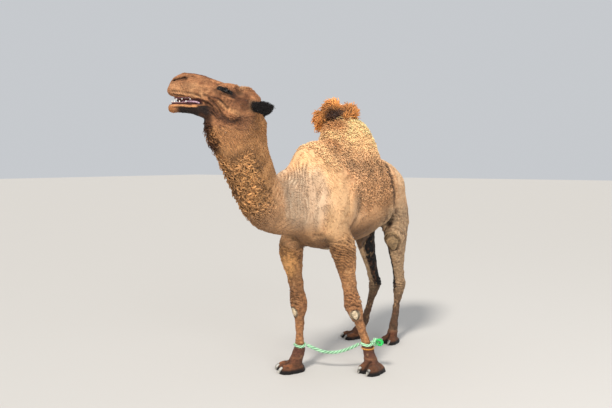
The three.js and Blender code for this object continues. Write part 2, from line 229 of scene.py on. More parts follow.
def rising(values, low, high):
    """0 below low, 1 above high and smooth between; low may be above high."""
    share = np.clip((values - low) / (high - low), 0, 1)
    return share * share * (3 - 2 * share)


def cloud(points, size, seed=0):
    """Smooth noise from -1 to 1, with patches of about the given size."""
    cell = points / size + 17.3 * seed
    corner = np.floor(cell)
    part = cell - corner
    part = part * part * (3 - 2 * part)
    total = np.zeros(len(points))
    for step in np.ndindex(2, 2, 2):
        key = (corner + step) @ (12.9898, 78.233, 37.719)
        value = np.sin(key) * 43758.5453
        share = np.prod(np.where(np.array(step) == 1, part, 1 - part), axis=1)
        total += (value - np.floor(value)) * share
    return 2 * total - 1


def to_path(points, path):
    """Each point's distance from a path, how far along the path it is, and the path's way there."""
    path = np.array([tuple(p) for p in path])
    best = np.full(len(points), np.inf)
    along = np.zeros(len(points))
    way = np.zeros((len(points), 3))
    done = 0
    for start, end in zip(path[:-1], path[1:]):
        step = end - start
        length = np.linalg.norm(step)
        share = np.clip((points - start) @ step / length**2, 0, 1)
        gap = np.linalg.norm(points - start - share[:, None] * step, axis=1)
        closer = gap < best
        best = np.where(closer, gap, best)
        along = np.where(closer, done + share * length, along)
        way[closer] = step / length
        done += length
    return best, along, way


def into_head(points):
    """Points in the head's own frame, in millimetres."""
    matrix = np.array(TO_HEAD)
    return (points @ matrix[:3, :3].T + matrix[:3, 3]) / MM


def out_of_head(points):
    """Points given in the head's own frame, in millimetres, in the room's frame."""
    matrix = np.array(HEAD)
    return (points * MM) @ matrix[:3, :3].T + matrix[:3, 3]


def from_eyes(points):
    """Each point's distance from the nearer eye."""
    return np.min([np.linalg.norm(points - np.array(eye), axis=1) for eye in eye_centres()], axis=0)


def middle_of(along, line):
    """The places on a line at the given distances along it."""
    line = np.array([tuple(p) for p in line])
    run = np.append(0, np.cumsum(np.linalg.norm(np.diff(line, axis=0), axis=1)))
    return np.stack([np.interp(along, run, line[:, k]) for k in range(3)], 1)


def on_skin(points, path, step, reach):
    """A path in close steps, each moved to the nearest of the points."""
    path = np.array([tuple(p) for p in path])
    widest = np.linalg.norm(np.diff(path, axis=0), axis=1).max()
    dense = smooth_path(path, max(int(widest / step), 1))
    inside = np.all((points > dense.min(0) - reach) & (points < dense.max(0) + reach), axis=1)
    near = points[inside]
    if len(near) == 0:
        return dense
    found = np.array([near[np.argmin(((near - place) ** 2).sum(1))] for place in dense])
    for _ in range(3):
        found[1:-1] = (found[:-2] + 2 * found[1:-1] + found[2:]) / 4
    return found


def on_neck(points):
    """How far along the neck's middle line each point is, and how far in front of it."""
    along = to_path(points, NECK_SPINE)[1]
    return along, (points - middle_of(along, NECK_SPINE)) @ np.array((0, -0.8, -0.6))


def neck_frame():
    """A turn and squeeze that draws patterns out along the neck."""
    along = np.array((0.14, -0.62, 0.77))
    side = unit(np.cross(along, (1.0, 0.0, 0.0)))
    return np.stack((along * 0.28, side, np.cross(along, side)), 1)


# ---- The skin's base shape ----


def joined(names, grow):
    """Copies of solids as one bmesh, each a little larger so that neighbours meet."""
    together = bmesh.new()
    for name in names:
        piece = bmesh.new()
        piece.from_mesh(NODES[name].data)
        bmesh.ops.remove_doubles(piece, verts=piece.verts, dist=1e-5)
        piece.normal_update()
        for vert in piece.verts:
            vert.co += vert.normal * grow
        mesh = bpy.data.meshes.new(name)
        piece.to_mesh(mesh)
        piece.free()
        together.from_mesh(mesh)
        bpy.data.meshes.remove(mesh)
    return together


def with_modifier(mesh, kind, **settings):
    """The mesh that a modifier makes of another, which is removed."""
    piece = bpy.data.objects.new("work", mesh)
    bpy.context.scene.collection.objects.link(piece)
    modifier = piece.modifiers.new("work", kind)
    for name, value in settings.items():
        setattr(modifier, name, value)
    done = piece.evaluated_get(bpy.context.evaluated_depsgraph_get())
    made = bpy.data.meshes.new_from_object(done)
    bpy.data.objects.remove(piece)
    bpy.data.meshes.remove(mesh)
    return made


def remeshed(shape, voxel):
    """One closed mesh round the outside of a bmesh, with faces of about the given size."""
    mesh = bpy.data.meshes.new("work")
    shape.to_mesh(mesh)
    shape.free()
    return with_modifier(mesh, "REMESH", mode="VOXEL", voxel_size=voxel)


def softened(node, grow, voxel, passes):
    """A solid's shape with its facets and edges rounded off."""
    mesh = remeshed(joined([node], grow), voxel)
    set_coords(mesh, relax(coords(mesh), links_of(mesh), 0.5, passes))
    mesh.polygons.foreach_set("use_smooth", [True] * len(mesh.polygons))
    return mesh


def tree_of(mesh):
    """The mesh as a tree that rays can be cast at."""
    faces = [tuple(face.vertices) for face in mesh.polygons]
    return BVHTree.FromPolygons(coords(mesh).tolist(), faces)


def half_thickness(mesh, most):
    """How far it is through the body from each point, halved."""
    tree = tree_of(mesh)
    found = np.full(len(mesh.vertices), most)
    inward = -normals_of(mesh)
    for i, (point, way) in enumerate(zip(coords(mesh).tolist(), inward.tolist())):
        start = Vector(point) + Vector(way) * 0.002
        distance = tree.ray_cast(start, Vector(way), 2 * most)[3]
        if distance is not None:
            found[i] = distance / 2
    return found


def smooth_by_thickness(mesh, most, passes, least=0.0):
    """Rounds off the facets, more where the body is thick, and gives back what that shrinks."""
    links = links_of(mesh)
    thick = relax(half_thickness(mesh, most)[:, None], links, 0.6, 8)[:, 0]
    weight = 0.6 * np.clip((thick / most) ** 2, least, 1)
    points = coords(mesh)
    soft = relax(points, links, weight, passes)
    set_coords(mesh, soft + relax(points - soft, links, weight, passes))


def base_shape():
    """One smooth closed mesh over the whole animal, at the solids' outer faces."""
    parts = joined(BODY_NODES, 0.001)
    for place, size in SHEATH:
        whole = Matrix.Translation(place) @ Matrix.Diagonal((*size, 1))
        bmesh.ops.create_uvsphere(parts, u_segments=20, v_segments=14, radius=1, matrix=whole)
    body = remeshed(parts, BODY_VOXEL)
    smooth_by_thickness(body, 0.24, 60)
    head = remeshed(joined(HEAD_NODES, 0.0006), HEAD_VOXEL)
    smooth_by_thickness(head, 0.07, 26, 0.06)
    both = bmesh.new()
    for mesh in (body, head):
        both.from_mesh(mesh)
        bpy.data.meshes.remove(mesh)
    return remeshed(both, SKIN_VOXEL)


def finer(mesh, places):
    """Divides the faces near each place, given by a centre, a reach and a number of rounds."""
    shape = bmesh.new()
    shape.from_mesh(mesh)
    for centre, reach, rounds in places:
        for cut in range(rounds):
            near = reach * (1 - 0.22 * cut)
            edges = [
                edge for edge in shape.edges
                if (edge.verts[0].co - centre).length < near and (edge.verts[1].co - centre).length < near
            ]
            bmesh.ops.subdivide_edges(shape, edges=edges, cuts=1, use_grid_fill=True)
    bmesh.ops.triangulate(shape, faces=[face for face in shape.faces if len(face.verts) > 4])
    shape.to_mesh(mesh)
    shape.free()


# ---- Modelling on the skin ----


class Clay:
    """The skin's points while they are shaped. Widths, heights and radii are in millimetres."""

    def __init__(self, mesh):
        self.mesh = mesh
        self.points = coords(mesh)
        self.links = links_of(mesh)
        self.renew()

    def renew(self):
        """Puts the moved points in the mesh and reads the normals again."""
        set_coords(self.mesh, self.points)
        self.normals = normals_of(self.mesh)
        self.head = into_head(self.points)

    def sort(self):
        """Reads which part each point belongs to, and how woolly it is."""
        weights = part_weights(self.mesh)
        self.weights = weights
        self.part = by_part(weights)
        self.wool = wool_share(self.mesh, weights)

    def push(self, amount, near=slice(None)):
        """Moves points along their normals."""
        self.points[near] += self.normals[near] * (amount * MM)[:, None]

    def share_of(self, centre, radii):
        """How far out each point is in an ellipsoid: 0 at its centre and 1 at its border."""
        return np.linalg.norm((self.points - np.array(centre)) / (np.array(radii) * MM), axis=1)

    def swell(self, centre, radii, height):
        """Raises a rounded mound on an ellipsoid's place, or a hollow where height is below zero."""
        share = self.share_of(centre, radii)
        near = np.where(share < 1)[0]
        self.push(height * (1 - share[near] ** 2) ** 2, near)

    def stroke(self, path, width, height, rim=0.0, taper=0.0):
        """Raises a ridge along a path on the skin, or sinks a groove where height is below zero."""
        path = on_skin(self.points, path, 0.01, 0.07)
        low = path.min(0) - 4 * width * MM
        high = path.max(0) + 4 * width * MM
        near = np.where(np.all((self.points > low) & (self.points < high), axis=1))[0]
        distance, along, _ = to_path(self.points[near], path)
        share = distance / (width * MM)
        profile = np.exp(-share**2) - rim * np.exp(-((share - 1.9) ** 2))
        if taper:
            run = along / max(along.max(), 1e-6)
            profile *= rising(run, 0, taper) * rising(run, 1, 1 - taper)
        self.push(height * profile, near)

    def ripple(self, centre, radii, way, wave, height, seed=0, drift=0.5):
        """Presses uneven folds across a way into an ellipsoid's place."""
        share = self.share_of(centre, radii)
        near = np.where(share < 1)[0]
        points = self.points[near]
        bent = cloud(points, wave * 4 * MM, seed) * drift
        bent = bent + cloud(points, wave * 1.6 * MM, seed + 1) * drift * 0.4
        phase = points @ unit(np.array(way)) / (wave * MM) + bent
        folds = 0.5 - np.abs((phase % 1) - 0.5) * 2
        uneven = 0.6 + 0.4 * cloud(points, wave * 2 * MM, seed + 2)
        self.push(height * np.sin(folds * math.pi) * uneven * (1 - share[near] ** 2), near)

    def rough(self, mask, size, height, seed):
        """Uneven lumps of about the given size where the mask is above zero."""
        near = np.where(mask > 0.02)[0]
        self.push(height * cloud(self.points[near], size * MM, seed) * mask[near], near)

    def smooth(self, centre, reach, weight, passes):
        """Softens the points round a place."""
        share = np.linalg.norm(self.points - np.array(centre), axis=1) / (reach * MM)
        near = np.where(share < 1.2)[0]
        inside = np.zeros(len(self.points), bool)
        inside[near] = True
        number = np.cumsum(inside) - 1
        here, there, _ = self.links
        kept = inside[here] & inside[there]
        here, there = number[here[kept]], number[there[kept]]
        links = (here, there, np.maximum(np.bincount(here, minlength=len(near)), 1))
        pull = weight * rising(share[near], 1.0, 0.6)
        self.points[near] = relax(self.points[near], links, pull, passes)


def mirrored(path, side):
    """A path on the head's left as places in the room, on the side that side says."""
    return [on_head(x * side, y, z) for x, y, z in path]


# Work on the left half of the head, done on both: nostril, lips, cheek, eye socket, brow and jaw.
# A mound or hollow is a place, radii and a height; a ridge or groove is a path, a width and a height.
FACE_WORK = (
    ((50, 86, 86), (40, 62, 40), 5),
    ([(30, 66, 122), (44, 92, 122), (50, 128, 116)], 9, 4),
    ([(46, 20, 0), (58, 60, -10), (62, 120, -16), (60, 180, -24), (54, 225, -40)], 9, 4),
    ([(34, 16, -66), (47, 60, -68), (50, 120, -70), (50, 180, -74)], 8, 4),
    ([(40, 30, -84), (48, 90, -84), (50, 160, -88)], 7, -4),
    ([(48, 40, 20), (60, 90, 12), (62, 150, 4), (62, 205, -14)], 10, -4),
    ([(50, 222, -50), (62, 246, -60), (74, 274, -78)], 6, -8),
    ([(60, 226, -26), (74, 256, -46), (80, 286, -80), (74, 306, -120)], 9, 5),
    ([(66, 262, -24), (76, 288, -46), (80, 316, -84), (74, 336, -122)], 6, -7),
    ([(72, 290, -22), (82, 320, -48), (86, 350, -84)], 8, 4),
    ([(76, 320, -26), (86, 350, -52), (88, 374, -84)], 5, -4),
    ([(50, 236, -90), (58, 268, -104), (60, 300, -136)], 6, -5),
    ((58, 296, 8), (46, 56, 40), -6),
    ([(70, 326, -20), (86, 372, -26), (92, 430, -32), (90, 492, -48)], 13, 6),
    ((86, 452, 14), (48, 46, 36), -10),
    ([(60, 330, 62), (74, 372, 66), (80, 414, 46)], 13, 7),
    ([(84, 346, -2), (98, 384, -12), (94, 424, -24)], 5, -4),
    ((92, 430, -96), (60, 78, 66), 8),
    ([(66, 330, -112), (72, 360, -146), (72, 408, -168), (74, 462, -156)], 12, -5, 0, 0.3),
    ([(56, 120, 56), (60, 190, 46), (60, 250, 26)], 14, -3),
    ([(20, 150, 128), (30, 230, 112), (38, 300, 92)], 10, 3),
)
# Fine folds: a place, radii, the way across them, their spacing, height and seed.
FACE_FOLDS = (
    ((72, 290, -96), (50, 76, 64), (0, 0.8, 0.6), 15, 3.2, 33),
    ((56, 110, -92), (40, 110, 30), (0, 0.5, 0.8), 12, 2.0, 34),
    ((60, 80, 30), (50, 90, 50), (0, 1, 0.5), 15, 1.8, 35),
    ((84, 380, -70), (50, 90, 60), (0, 0.9, -0.4), 22, 2.4, 36),
)


def shape_face(clay):
    """Nostrils, lips, brows, cheeks and folds of the head, on both sides."""
    clay.stroke([on_head(0, -6, 70), on_head(0, -4, 40), on_head(0, 6, -8)], 5, -5)
    for side in (1, -1):
        for place, *sizes in FACE_WORK:
            if isinstance(place, list):
                clay.stroke(mirrored(place, side), *sizes)
            else:
                clay.swell(mirrored([place], side)[0], *sizes)
    clay.swell(on_head(0, 500, 62), (90, 84, 60), 7)
    clay.swell(on_head(0, 30, -100), (40, 36, 26), 4)
    clay.renew()
    _, back, up = clay.head.T
    face = rising(back, 560, 500) * rising(up, -240, -200) * rising(back, -60, -20)
    low = rising(up, 10, -40)
    clay.rough(face, 46, 2.0, 31)
    clay.rough(face * (0.4 + 0.6 * low), 18, 1.4, 32)
    for side in (1, -1):
        for place, radii, way, wave, height, seed in FACE_FOLDS:
            clay.ripple(mirrored([place], side)[0], radii, on_way(way), wave, height, seed)
    clay.renew()
    for side in (1, -1):
        clay.stroke(mirrored(NOSTRIL, side), 4.5, -12, 0.35)
    clay.renew()


def shape_eyes(clay):
    """Lids that close over each eyeball down to a slanting almond opening.

    Across, rise and facing are places round the eye in eyeball radii: along its slit, over it and
    out of it."""
    opening_half = 1.02
    lid_thickness = 5.6
    opening_depth = 9.8
    for side in (1, -1):
        local = clay.head - np.array(EYE_AT) * (side, 1, 1)
        near = np.where(np.linalg.norm(local, axis=1) < 3 * EYE_RADIUS)[0]
        local = local[near]
        outward, back, up = eye_axes(side)
        across = local @ back / EYE_RADIUS
        rise = local @ up / EYE_RADIUS
        facing = local @ outward / EYE_RADIUS
        arch = np.sqrt(np.clip(1 - (across / opening_half) ** 2, 0, 1))
        lid = np.where(rise > 0, 0.26, 0.30) * arch
        open_share = rising(np.abs(rise), lid + 0.09, lid - 0.02) * (np.abs(across) < opening_half)
        depth = EYE_RADIUS + lid_thickness - opening_depth * open_share
        depth += 2.4 * np.exp(-((np.abs(rise) - 0.46) / 0.13) ** 2) * (np.abs(across) < 1.15)
        depth -= 3.4 * np.exp(-((rise - 0.80) / 0.12) ** 2)
        depth -= 2.6 * np.exp(-((rise + 0.80) / 0.13) ** 2)
        depth += 1.6 * np.exp(-((rise - 1.04) / 0.13) ** 2)
        reach = np.hypot(across, rise)
        on_ball = np.sqrt(np.clip(depth**2 - (reach * EYE_RADIUS) ** 2, 0, None))
        target = across[:, None] * back + rise[:, None] * up + (on_ball / EYE_RADIUS)[:, None] * outward
        target *= EYE_RADIUS
        pull = rising(reach, 1.3, 1.1) * (facing > 0)
        mixed = local + (target - local) * pull[:, None]
        clay.points[near] = out_of_head(mixed + np.array(EYE_AT) * (side, 1, 1))
    clay.renew()


def shape_body(clay):
    """Muscles, folds, calluses and wrinkles of the neck, trunk and legs."""
    wool_lumps = clay.wool * rising(clay.points[:, 2], 0.9, 1.1)
    clay.rough(wool_lumps, 62, 6, 21)
    clay.rough(wool_lumps, 30, 4, 22)
    body = clay.part["trunk"] + clay.part["neck"]
    clay.rough(body, 150, 6, 23)
    clay.rough(body, 60, 2.2, 24)
    clay.ripple(at(15, -800, 1600), (150, 160, 150), (0.72, 0.69, -0.1), 25, 9, 3, 0.7)
    clay.ripple(at(60, -1040, 1560), (180, 150, 200), (0.5, -0.6, 0.6), 34, 5, 4)
    clay.ripple(at(110, -850, 1400), (200, 220, 240), (0.8, 0.6, 0.05), 21, 3.5, 5, 0.8)
    clay.ripple(at(-200, -850, 1400), (200, 220, 240), (0.8, -0.6, 0.05), 21, 3.5, 6, 0.8)
    clay.ripple(at(60, -900, 1190), (200, 180, 110), (0.8, -0.5, 0.1), 30, 7, 12, 0.8)
    for out, armpit in ((1, (250, -450, 1015)), (-1, (-190, -560, 1010))):
        shape_side(clay, out, at(*armpit))
    clay.renew()
    shape_calluses(clay)
    shape_legs(clay)
    clay.renew()


def shape_side(clay, out, armpit):
    """Folds of the armpit, shoulder, chest and flank on the side that out says."""
    clay.ripple(armpit, (170, 170, 170), (0.25 * out, 0.2, 1), 23, 6.5, 7, 1.3)
    shoulder = [
        at(190 * out, -640, 1560), at(178 * out, -664, 1477), at(166 * out, -684, 1380),
        at(162 * out, -684, 1289), at(132 * out, -660, 1180), at(95 * out, -620, 1090),
    ]
    clay.stroke(shoulder, 26, -8, 0, 0.3)
    clay.swell(at(232 * out, -470, 1330), (150, 160, 290), 12)
    behind = [at(262 * out, -250, 1500), at(285 * out, -230, 1320), at(270 * out, -280, 1120)]
    clay.stroke(behind, 28, -16, 0, 0.3)
    crease = crease_line(out)
    clay.stroke([p + Vector((0.004 * out, -0.060, 0)) for p in crease], 42, 20, 0, 0.2)
    clay.stroke(crease, 17, -32, 0, 0.12)
    clay.stroke([p + Vector((0, 0.055, 0)) for p in crease], 36, -8, 0, 0.2)
    chest = [at(90 * out, -690, 1130), at(140 * out, -640, 1105), at(190 * out, -580, 1120)]
    clay.stroke(chest, 15, -7, 0, 0.3)
    clay.swell(at(10 + 290 * out, 500, 1420), (160, 190, 260), 10)


def shape_calluses(clay):
    """The bare pads of the knees and stifles, and the folds round them."""
    for callus, height in zip(FORE_CALLUSES, (6, 5)):
        clay.swell(callus, (42, 56, 56), height)
        clay.stroke(callus_rim(clay.points, clay.normals, callus, *FORE_RIM), 6, -7)
        fold = [callus + Vector(p) * MM for p in ((-52, 20, 66), (-8, -14, 84), (40, 16, 70))]
        clay.stroke(fold, 9, -9)
        clay.ripple(callus + Vector((-0.01, 0, 0.12)), (110, 120, 100), (0.2, 0.1, 1), 22, 7, 9, 1.4)
        clay.ripple(callus + Vector((0, 0.02, -0.085)), (80, 90, 50), (0.1, 0.1, 1), 17, 4, 10, 1.2)
    for out, callus in zip((1, -1), STIFLE_CALLUSES):
        clay.swell(callus + Vector((-30 * out, -22, 5)) * MM, (90, 90, 110), 34)
        clay.stroke(callus_rim(clay.points, clay.normals, callus, *STIFLE_RIM), 8, -9)
        steps = ((-92, 0, 96), (-34, -16, 140), (44, 20, 134), (96, 70, 96))
        fold = [callus + Vector((x * out, y, z)) * MM for x, y, z in steps]
        clay.stroke(fold, 13, 12)
        clay.ripple(callus + Vector((0, 0.02, 0.21)), (130, 150, 60), (0.2 * out, -0.3, 1), 28, 3, 11, 0.7)


def shape_legs(clay):
    """Hocks, the hollows beside the sinews and the rough skin of the legs."""
    for hock in HOCKS:
        clay.swell(hock + Vector((0, 0.055, 0.01)), (50, 50, 56), 9)
        clay.ripple(hock + Vector((0, -0.03, 0.0)), (90, 100, 90), (0, 0.25, 1), 24, 8, 13, 0.8)
    for leg in LEG_NAMES:
        line = LEG_LINES[leg]
        thick = 0.030 if "fore" in leg else 0.026
        for side in (-1, 1):
            away = Vector((side * thick, 0.010, 0))
            clay.stroke([line[1].lerp(line[2], t) + away for t in (0.3, 0.6, 0.9)], 8, -5, 0, 0.2)
            away = Vector((side * 0.05, 0.03, 0))
            clay.stroke([line[0].lerp(line[1], t) + away for t in (0.3, 0.6, 0.92)], 14, -6, 0, 0.25)
    legs = clay.part["foreleg"] + clay.part["hindleg"]
    clay.rough(legs, 60, 4, 26)
    clay.rough(legs, 26, 3, 27)
    clay.rough(legs + clay.part["foot"], 13, 1.6, 28)


def shape_feet(clay):
    """The cleft between the two toes, and a flat sole."""
    for leg in LEG_NAMES:
        turn = Matrix.Rotation(math.radians(TOES[leg]), 3, "Z")
        scale = 1.05 if "fore" in leg else 0.9

        def on_foot(path):
            """A path on this foot, from millimetres with the toes towards -y."""
            return [LEG_LINES[leg][3] + turn @ (Vector(p) * MM * scale) for p in path]

        clay.stroke(on_foot([(0, -128, 4), (0, -104, 40), (0, -70, 66), (0, -30, 84)]), 9, -13)
        for side in (1, -1):
            clay.stroke(on_foot([(70 * side, -96, 52), (45 * side, -84, 70), (16 * side, -96, 56)]), 8, 4)
    clay.renew()
    sole = (clay.points[:, 2] < 0.012) & (clay.normals[:, 2] < -0.5)
    clay.points[sole, 2] = SOLE_LEVEL
    clay.points[:, 2] = np.maximum(clay.points[:, 2], SOLE_LEVEL)
    clay.renew()


# ---- Parts, lie and colour of the coat ----

PART_NAMES = ("head", "ear", "neck", "trunk", "hump", "tail", "foreleg", "hindleg", "foot")


def part_of(node):
    """The number in PART_NAMES of the part that a node belongs to."""
    if node == "lower_jaw":
        return PART_NAMES.index("head")
    for name in ("ear", "foot"):
        if node.endswith(name):
            return PART_NAMES.index(name)
    if node.endswith("leg"):
        return PART_NAMES.index("foreleg" if "fore" in node else "hindleg")
    return PART_NAMES.index(node)


def part_weights(mesh):
    """How much each point belongs to each part, softened over their borders."""
    points, faces, owners = [], [], []
    for name in BODY_NODES + HEAD_NODES:
        data = NODES[name].data
        start = len(points)
        points += coords(data).tolist()
        faces += [[start + i for i in face.vertices] for face in data.polygons]
        owners += [part_of(name)] * len(data.polygons)
    tree = BVHTree.FromPolygons(points, faces)
    found = [tree.find_nearest(point)[2] for point in coords(mesh).tolist()]
    weights = np.eye(len(PART_NAMES))[np.array(owners)[found]]
    return relax(weights, links_of(mesh), 0.7, 10)


def by_part(weights):
    """Each part's column of the weights, by its name."""
    return dict(zip(PART_NAMES, weights.T))


def relief_of(mesh, passes):
    """How far each point stands out of the skin round it, in millimetres, and sinks below zero."""
    points = coords(mesh)
    soft = relax(points, links_of(mesh), 0.6, passes)
    return ((points - soft) * normals_of(mesh)).sum(1) / MM


def lie_of_coat(mesh, weights):
    """The way the hair points at each point, along the skin."""
    points, normals = coords(mesh), normals_of(mesh)
    turn = np.array(HEAD)[:3, :3]
    neck_way = -to_path(points, NECK_SPINE)[2]
    belly = np.clip(-normals[:, 2], 0, 1)[:, None]
    # One way for each of PART_NAMES, in their order.
    ways = [
        np.broadcast_to(turn @ (0, 1, -0.35), points.shape),
        np.broadcast_to(turn @ (0.1, 1, 0), points.shape),
        neck_way + (0, 0, -0.25),
        np.array((0, 0.62, -0.75)) + belly * (0, 1, 0),
        np.stack((points[:, 0] * 1.2, points[:, 1] * 0.6 - 0.1, np.full(len(points), -1.0)), 1),
        np.broadcast_to((0, 0.1, -1.0), points.shape),
        np.broadcast_to((0, 0.1, -1.0), points.shape),
        np.broadcast_to((0, 0.15, -1.0), points.shape),
        np.broadcast_to((0, -0.2, -1.0), points.shape),
    ]
    lie = sum(weights[:, k, None] * unit(way) for k, way in enumerate(ways))
    lie = relax(lie, links_of(mesh), 0.6, 6)
    lie -= normals * np.sum(lie * normals, axis=1)[:, None]
    return unit(lie)


CREAM = linear(220, 178, 128)
# FACE_DARK is the head's dark brown, and also paints shade in the folds, along the jaw, at the temples and
# round the nostrils.
FACE_DARK = linear(72, 40, 22)
FACE_LIGHT = linear(206, 156, 110)
# BLACK is the black of the ears, soles, lashes and eyes, and also paints shade in the nostrils and on the
# hind legs' inner sides.
BLACK = linear(17, 13, 12)
SHANK = linear(150, 100, 64)
DARK_SHANK = linear(72, 50, 36)
PASTERN = linear(92, 56, 42)
FOOT = linear(92, 58, 38)
CALLUS = linear(164, 142, 112)
BEARD = linear(52, 27, 15)
NOSTRIL = [(36, 50, 82), (45, 70, 92), (50, 96, 100), (48, 116, 104)]
EYE_PATCH = [(64, 322, 42), (84, 346, 32), (100, 372, 20), (98, 398, 6), (90, 424, -8)]
# The folds of the cheek, which get painted shade.
CHEEK_FOLDS = (
    [(60, 236, -56), (74, 272, -78), (76, 310, -112)],
    [(66, 262, -24), (76, 288, -46), (80, 316, -84), (74, 336, -122)],
    [(76, 320, -26), (86, 350, -52), (88, 374, -84)],
    [(60, 230, 0), (70, 270, -10), (76, 310, -20)],
)
# How thick the coat lies on each part, in millimetres, and how much thicker where it is wool.
COAT_DEPTHS = {
    "head": 2, "ear": 1, "neck": 5, "trunk": 5, "hump": 7, "tail": 4,
    "foreleg": 2.5, "hindleg": 2.5, "foot": 1,
}
WOOL_DEPTH = 9


class Markings:
    """The colours of skin and coat while they are painted. Radii and widths are in millimetres."""

    def __init__(self, mesh, weights, ground):
        self.points = coords(mesh)
        self.normals = normals_of(mesh)
        self.part = by_part(weights)
        self.colour = np.tile(np.array(ground), (len(self.points), 1))
        self.face = into_head(self.points)
        self.face[:, 0] = np.abs(self.face[:, 0])
        self.patch = cloud(self.points, 0.15, 1)
        self.fine = cloud(self.points, 0.045, 2)
        self.grain = cloud(self.points, 0.018, 3)
        self.streak = cloud(self.points * (1, 1, 0.14), 0.013, 4)

    def paint(self, shade, mask):
        """Lays a colour over what is there, as far as the mask says."""
        mask = np.clip(mask, 0, 1)[:, None]
        self.colour = self.colour * (1 - mask) + np.array(shade) * mask

    def blot(self, shade, centre, radii, strength, soft=0.5):
        """Paints an ellipsoid's place, with a soft border."""
        self.paint(shade, self.spot(centre, radii, soft) * strength)

    def spot(self, centre, radii, soft=0.5):
        """1 in the middle of an ellipsoid and 0 outside it."""
        share = np.linalg.norm((self.points - np.array(centre)) / (np.array(radii) * MM), axis=1)
        return rising(share, 1, 1 - soft)

    def line(self, shade, path, near, far, strength):
        """Paints along a path on the skin: in full up to near from it, and not past far."""
        distance = to_path(self.points, on_skin(self.points, path, 0.01, 0.07))[0]
        self.paint(shade, rising(distance, far * MM, near * MM) * strength)

    def face_blot(self, shade, centre, radii, strength, soft=0.6):
        """As blot, on both sides of the head, with the place in the head's frame."""
        share = np.linalg.norm((self.face - np.array(centre)) / np.array(radii), axis=1)
        self.paint(shade, self.part["head"] * rising(share, 1, 1 - soft) * strength)

    def face_line(self, shade, path, near, far, strength):
        """As line, on both sides of the head, with the path in the head's frame."""
        distance = to_path(self.face, on_skin(self.face, path, 8, 60))[0]
        self.paint(shade, self.part["head"] * rising(distance, far, near) * strength)


def paint_trunk(coat):
    """Pale withers and shoulders, a browner saddle, greyish streaks at the neck's root, and painted shade
    on the low flanks and in the groove behind each shoulder.
    """
    _, y, z = coat.points.T
    fine, streak = coat.fine, coat.streak
    coat.paint(linear(240, 192, 136), coat.part["hump"] * 0.95)
    coat.blot(CREAM, at(60, -590, 1700), (330, 280, 240), 0.6)
    coat.blot(CREAM, at(180, -470, 1330), (230, 200, 330), 0.7)
    coat.blot(linear(150, 96, 52), at(90, -400, 1800), (170, 130, 120), 0.45 + 0.45 * fine)
    # Painted shade: the flanks darker towards the bottom, behind the forelegs.
    low_flank_shade = coat.part["trunk"] * rising(y, -0.15, 0.1) * rising(z, 1.24, 1.10)
    for side in (1, -1):
        root = coat.spot(at(170 * side - 20, -800, 1420), (250, 260, 330), 0.35)
        coat.paint(linear(184, 156, 128), root * (0.85 + 0.15 * streak))
        coat.paint(linear(212, 186, 154), root * rising(streak, 0.15, 0.6) * 0.55)
        coat.paint(linear(122, 94, 68), root * rising(streak, -0.3, -0.8) * 0.45)
        coat.blot(linear(170, 126, 86), at(290 * side, 40, 1420), (160, 330, 330), 0.7 + 0.3 * fine)
        coat.blot(linear(150, 104, 64), at(320 * side, 90, 1400), (150, 130, 170), 0.25 + 0.4 * fine)
        coat.paint(linear(100, 68, 40), low_flank_shade * 0.85)
        # Painted shade in the groove behind the shoulder.
        coat.blot(linear(150, 128, 104), at(275 * side, -260, 1300), (70, 80, 230), 0.55)
        coat.blot(linear(192, 152, 112), at(235 * side, -500, 1310), (110, 130, 270), 0.7)


def paint_neck(coat):
    """Brown, streaked along the neck and redder in front, with painted shade on the back of the upper neck
    and under the neck.
    """
    neck = coat.part["neck"]
    along, front = on_neck(coat.points)
    below = np.clip(-coat.normals[:, 2], 0, 1)
    coat.paint(linear(176, 128, 82), neck * rising(along, 0.62, 0.9))
    wool = neck * rising(along, 0.62, 0.8) * rising(along, 1.2, 1.0)
    coat.paint(linear(190, 138, 84), wool * rising(front, 0, 0.05) * 0.8)
    coat.paint(linear(176, 124, 78), neck * rising(along, 1.1, 1.3))
    streak = cloud(coat.points @ neck_frame(), 0.030, 11)
    dark = rising(streak + 0.5 * coat.grain, -0.1, 0.8)
    coat.paint(linear(104, 70, 42), neck * rising(along, 0.6, 0.85) * dark * 0.7)
    light = rising(-streak + 0.5 * coat.grain, 0.2, 1.0)
    coat.paint(linear(206, 152, 96), neck * rising(along, 0.75, 0.95) * light * 0.5)
    # Painted shade on the upper neck where it faces back, away from the light.
    nape_shade = rising(coat.normals[:, 1], 0.2, 0.8) * rising(along, 0.95, 1.2)
    coat.paint(linear(122, 76, 42), neck * nape_shade * 0.6)
    # Painted shade under the lower neck.
    coat.paint(linear(116, 80, 48), below * neck * rising(along, 1.1, 0.7) * 0.8)


def paint_belly_rump_and_crest(coat):
    """Painted shade under the belly, a pale rump and a brown crest on the hump."""
    trunk = coat.part["trunk"]
    below = np.clip(-coat.normals[:, 2], 0, 1)
    # Painted shade where the trunk faces down.
    coat.paint(linear(96, 64, 34), rising(below, 0.25, 0.8) * trunk * 0.9)
    coat.blot(linear(198, 140, 76), at(0, 100, 1045), (330, 240, 40), 0.3)
    rump = rising(coat.points[:, 1], 0.70, 0.9) * trunk
    coat.paint(linear(206, 170, 130), rump * (0.75 + 0.2 * coat.streak))
    coat.blot(linear(160, 104, 58), CREST, (140, 120, 100), 0.85)


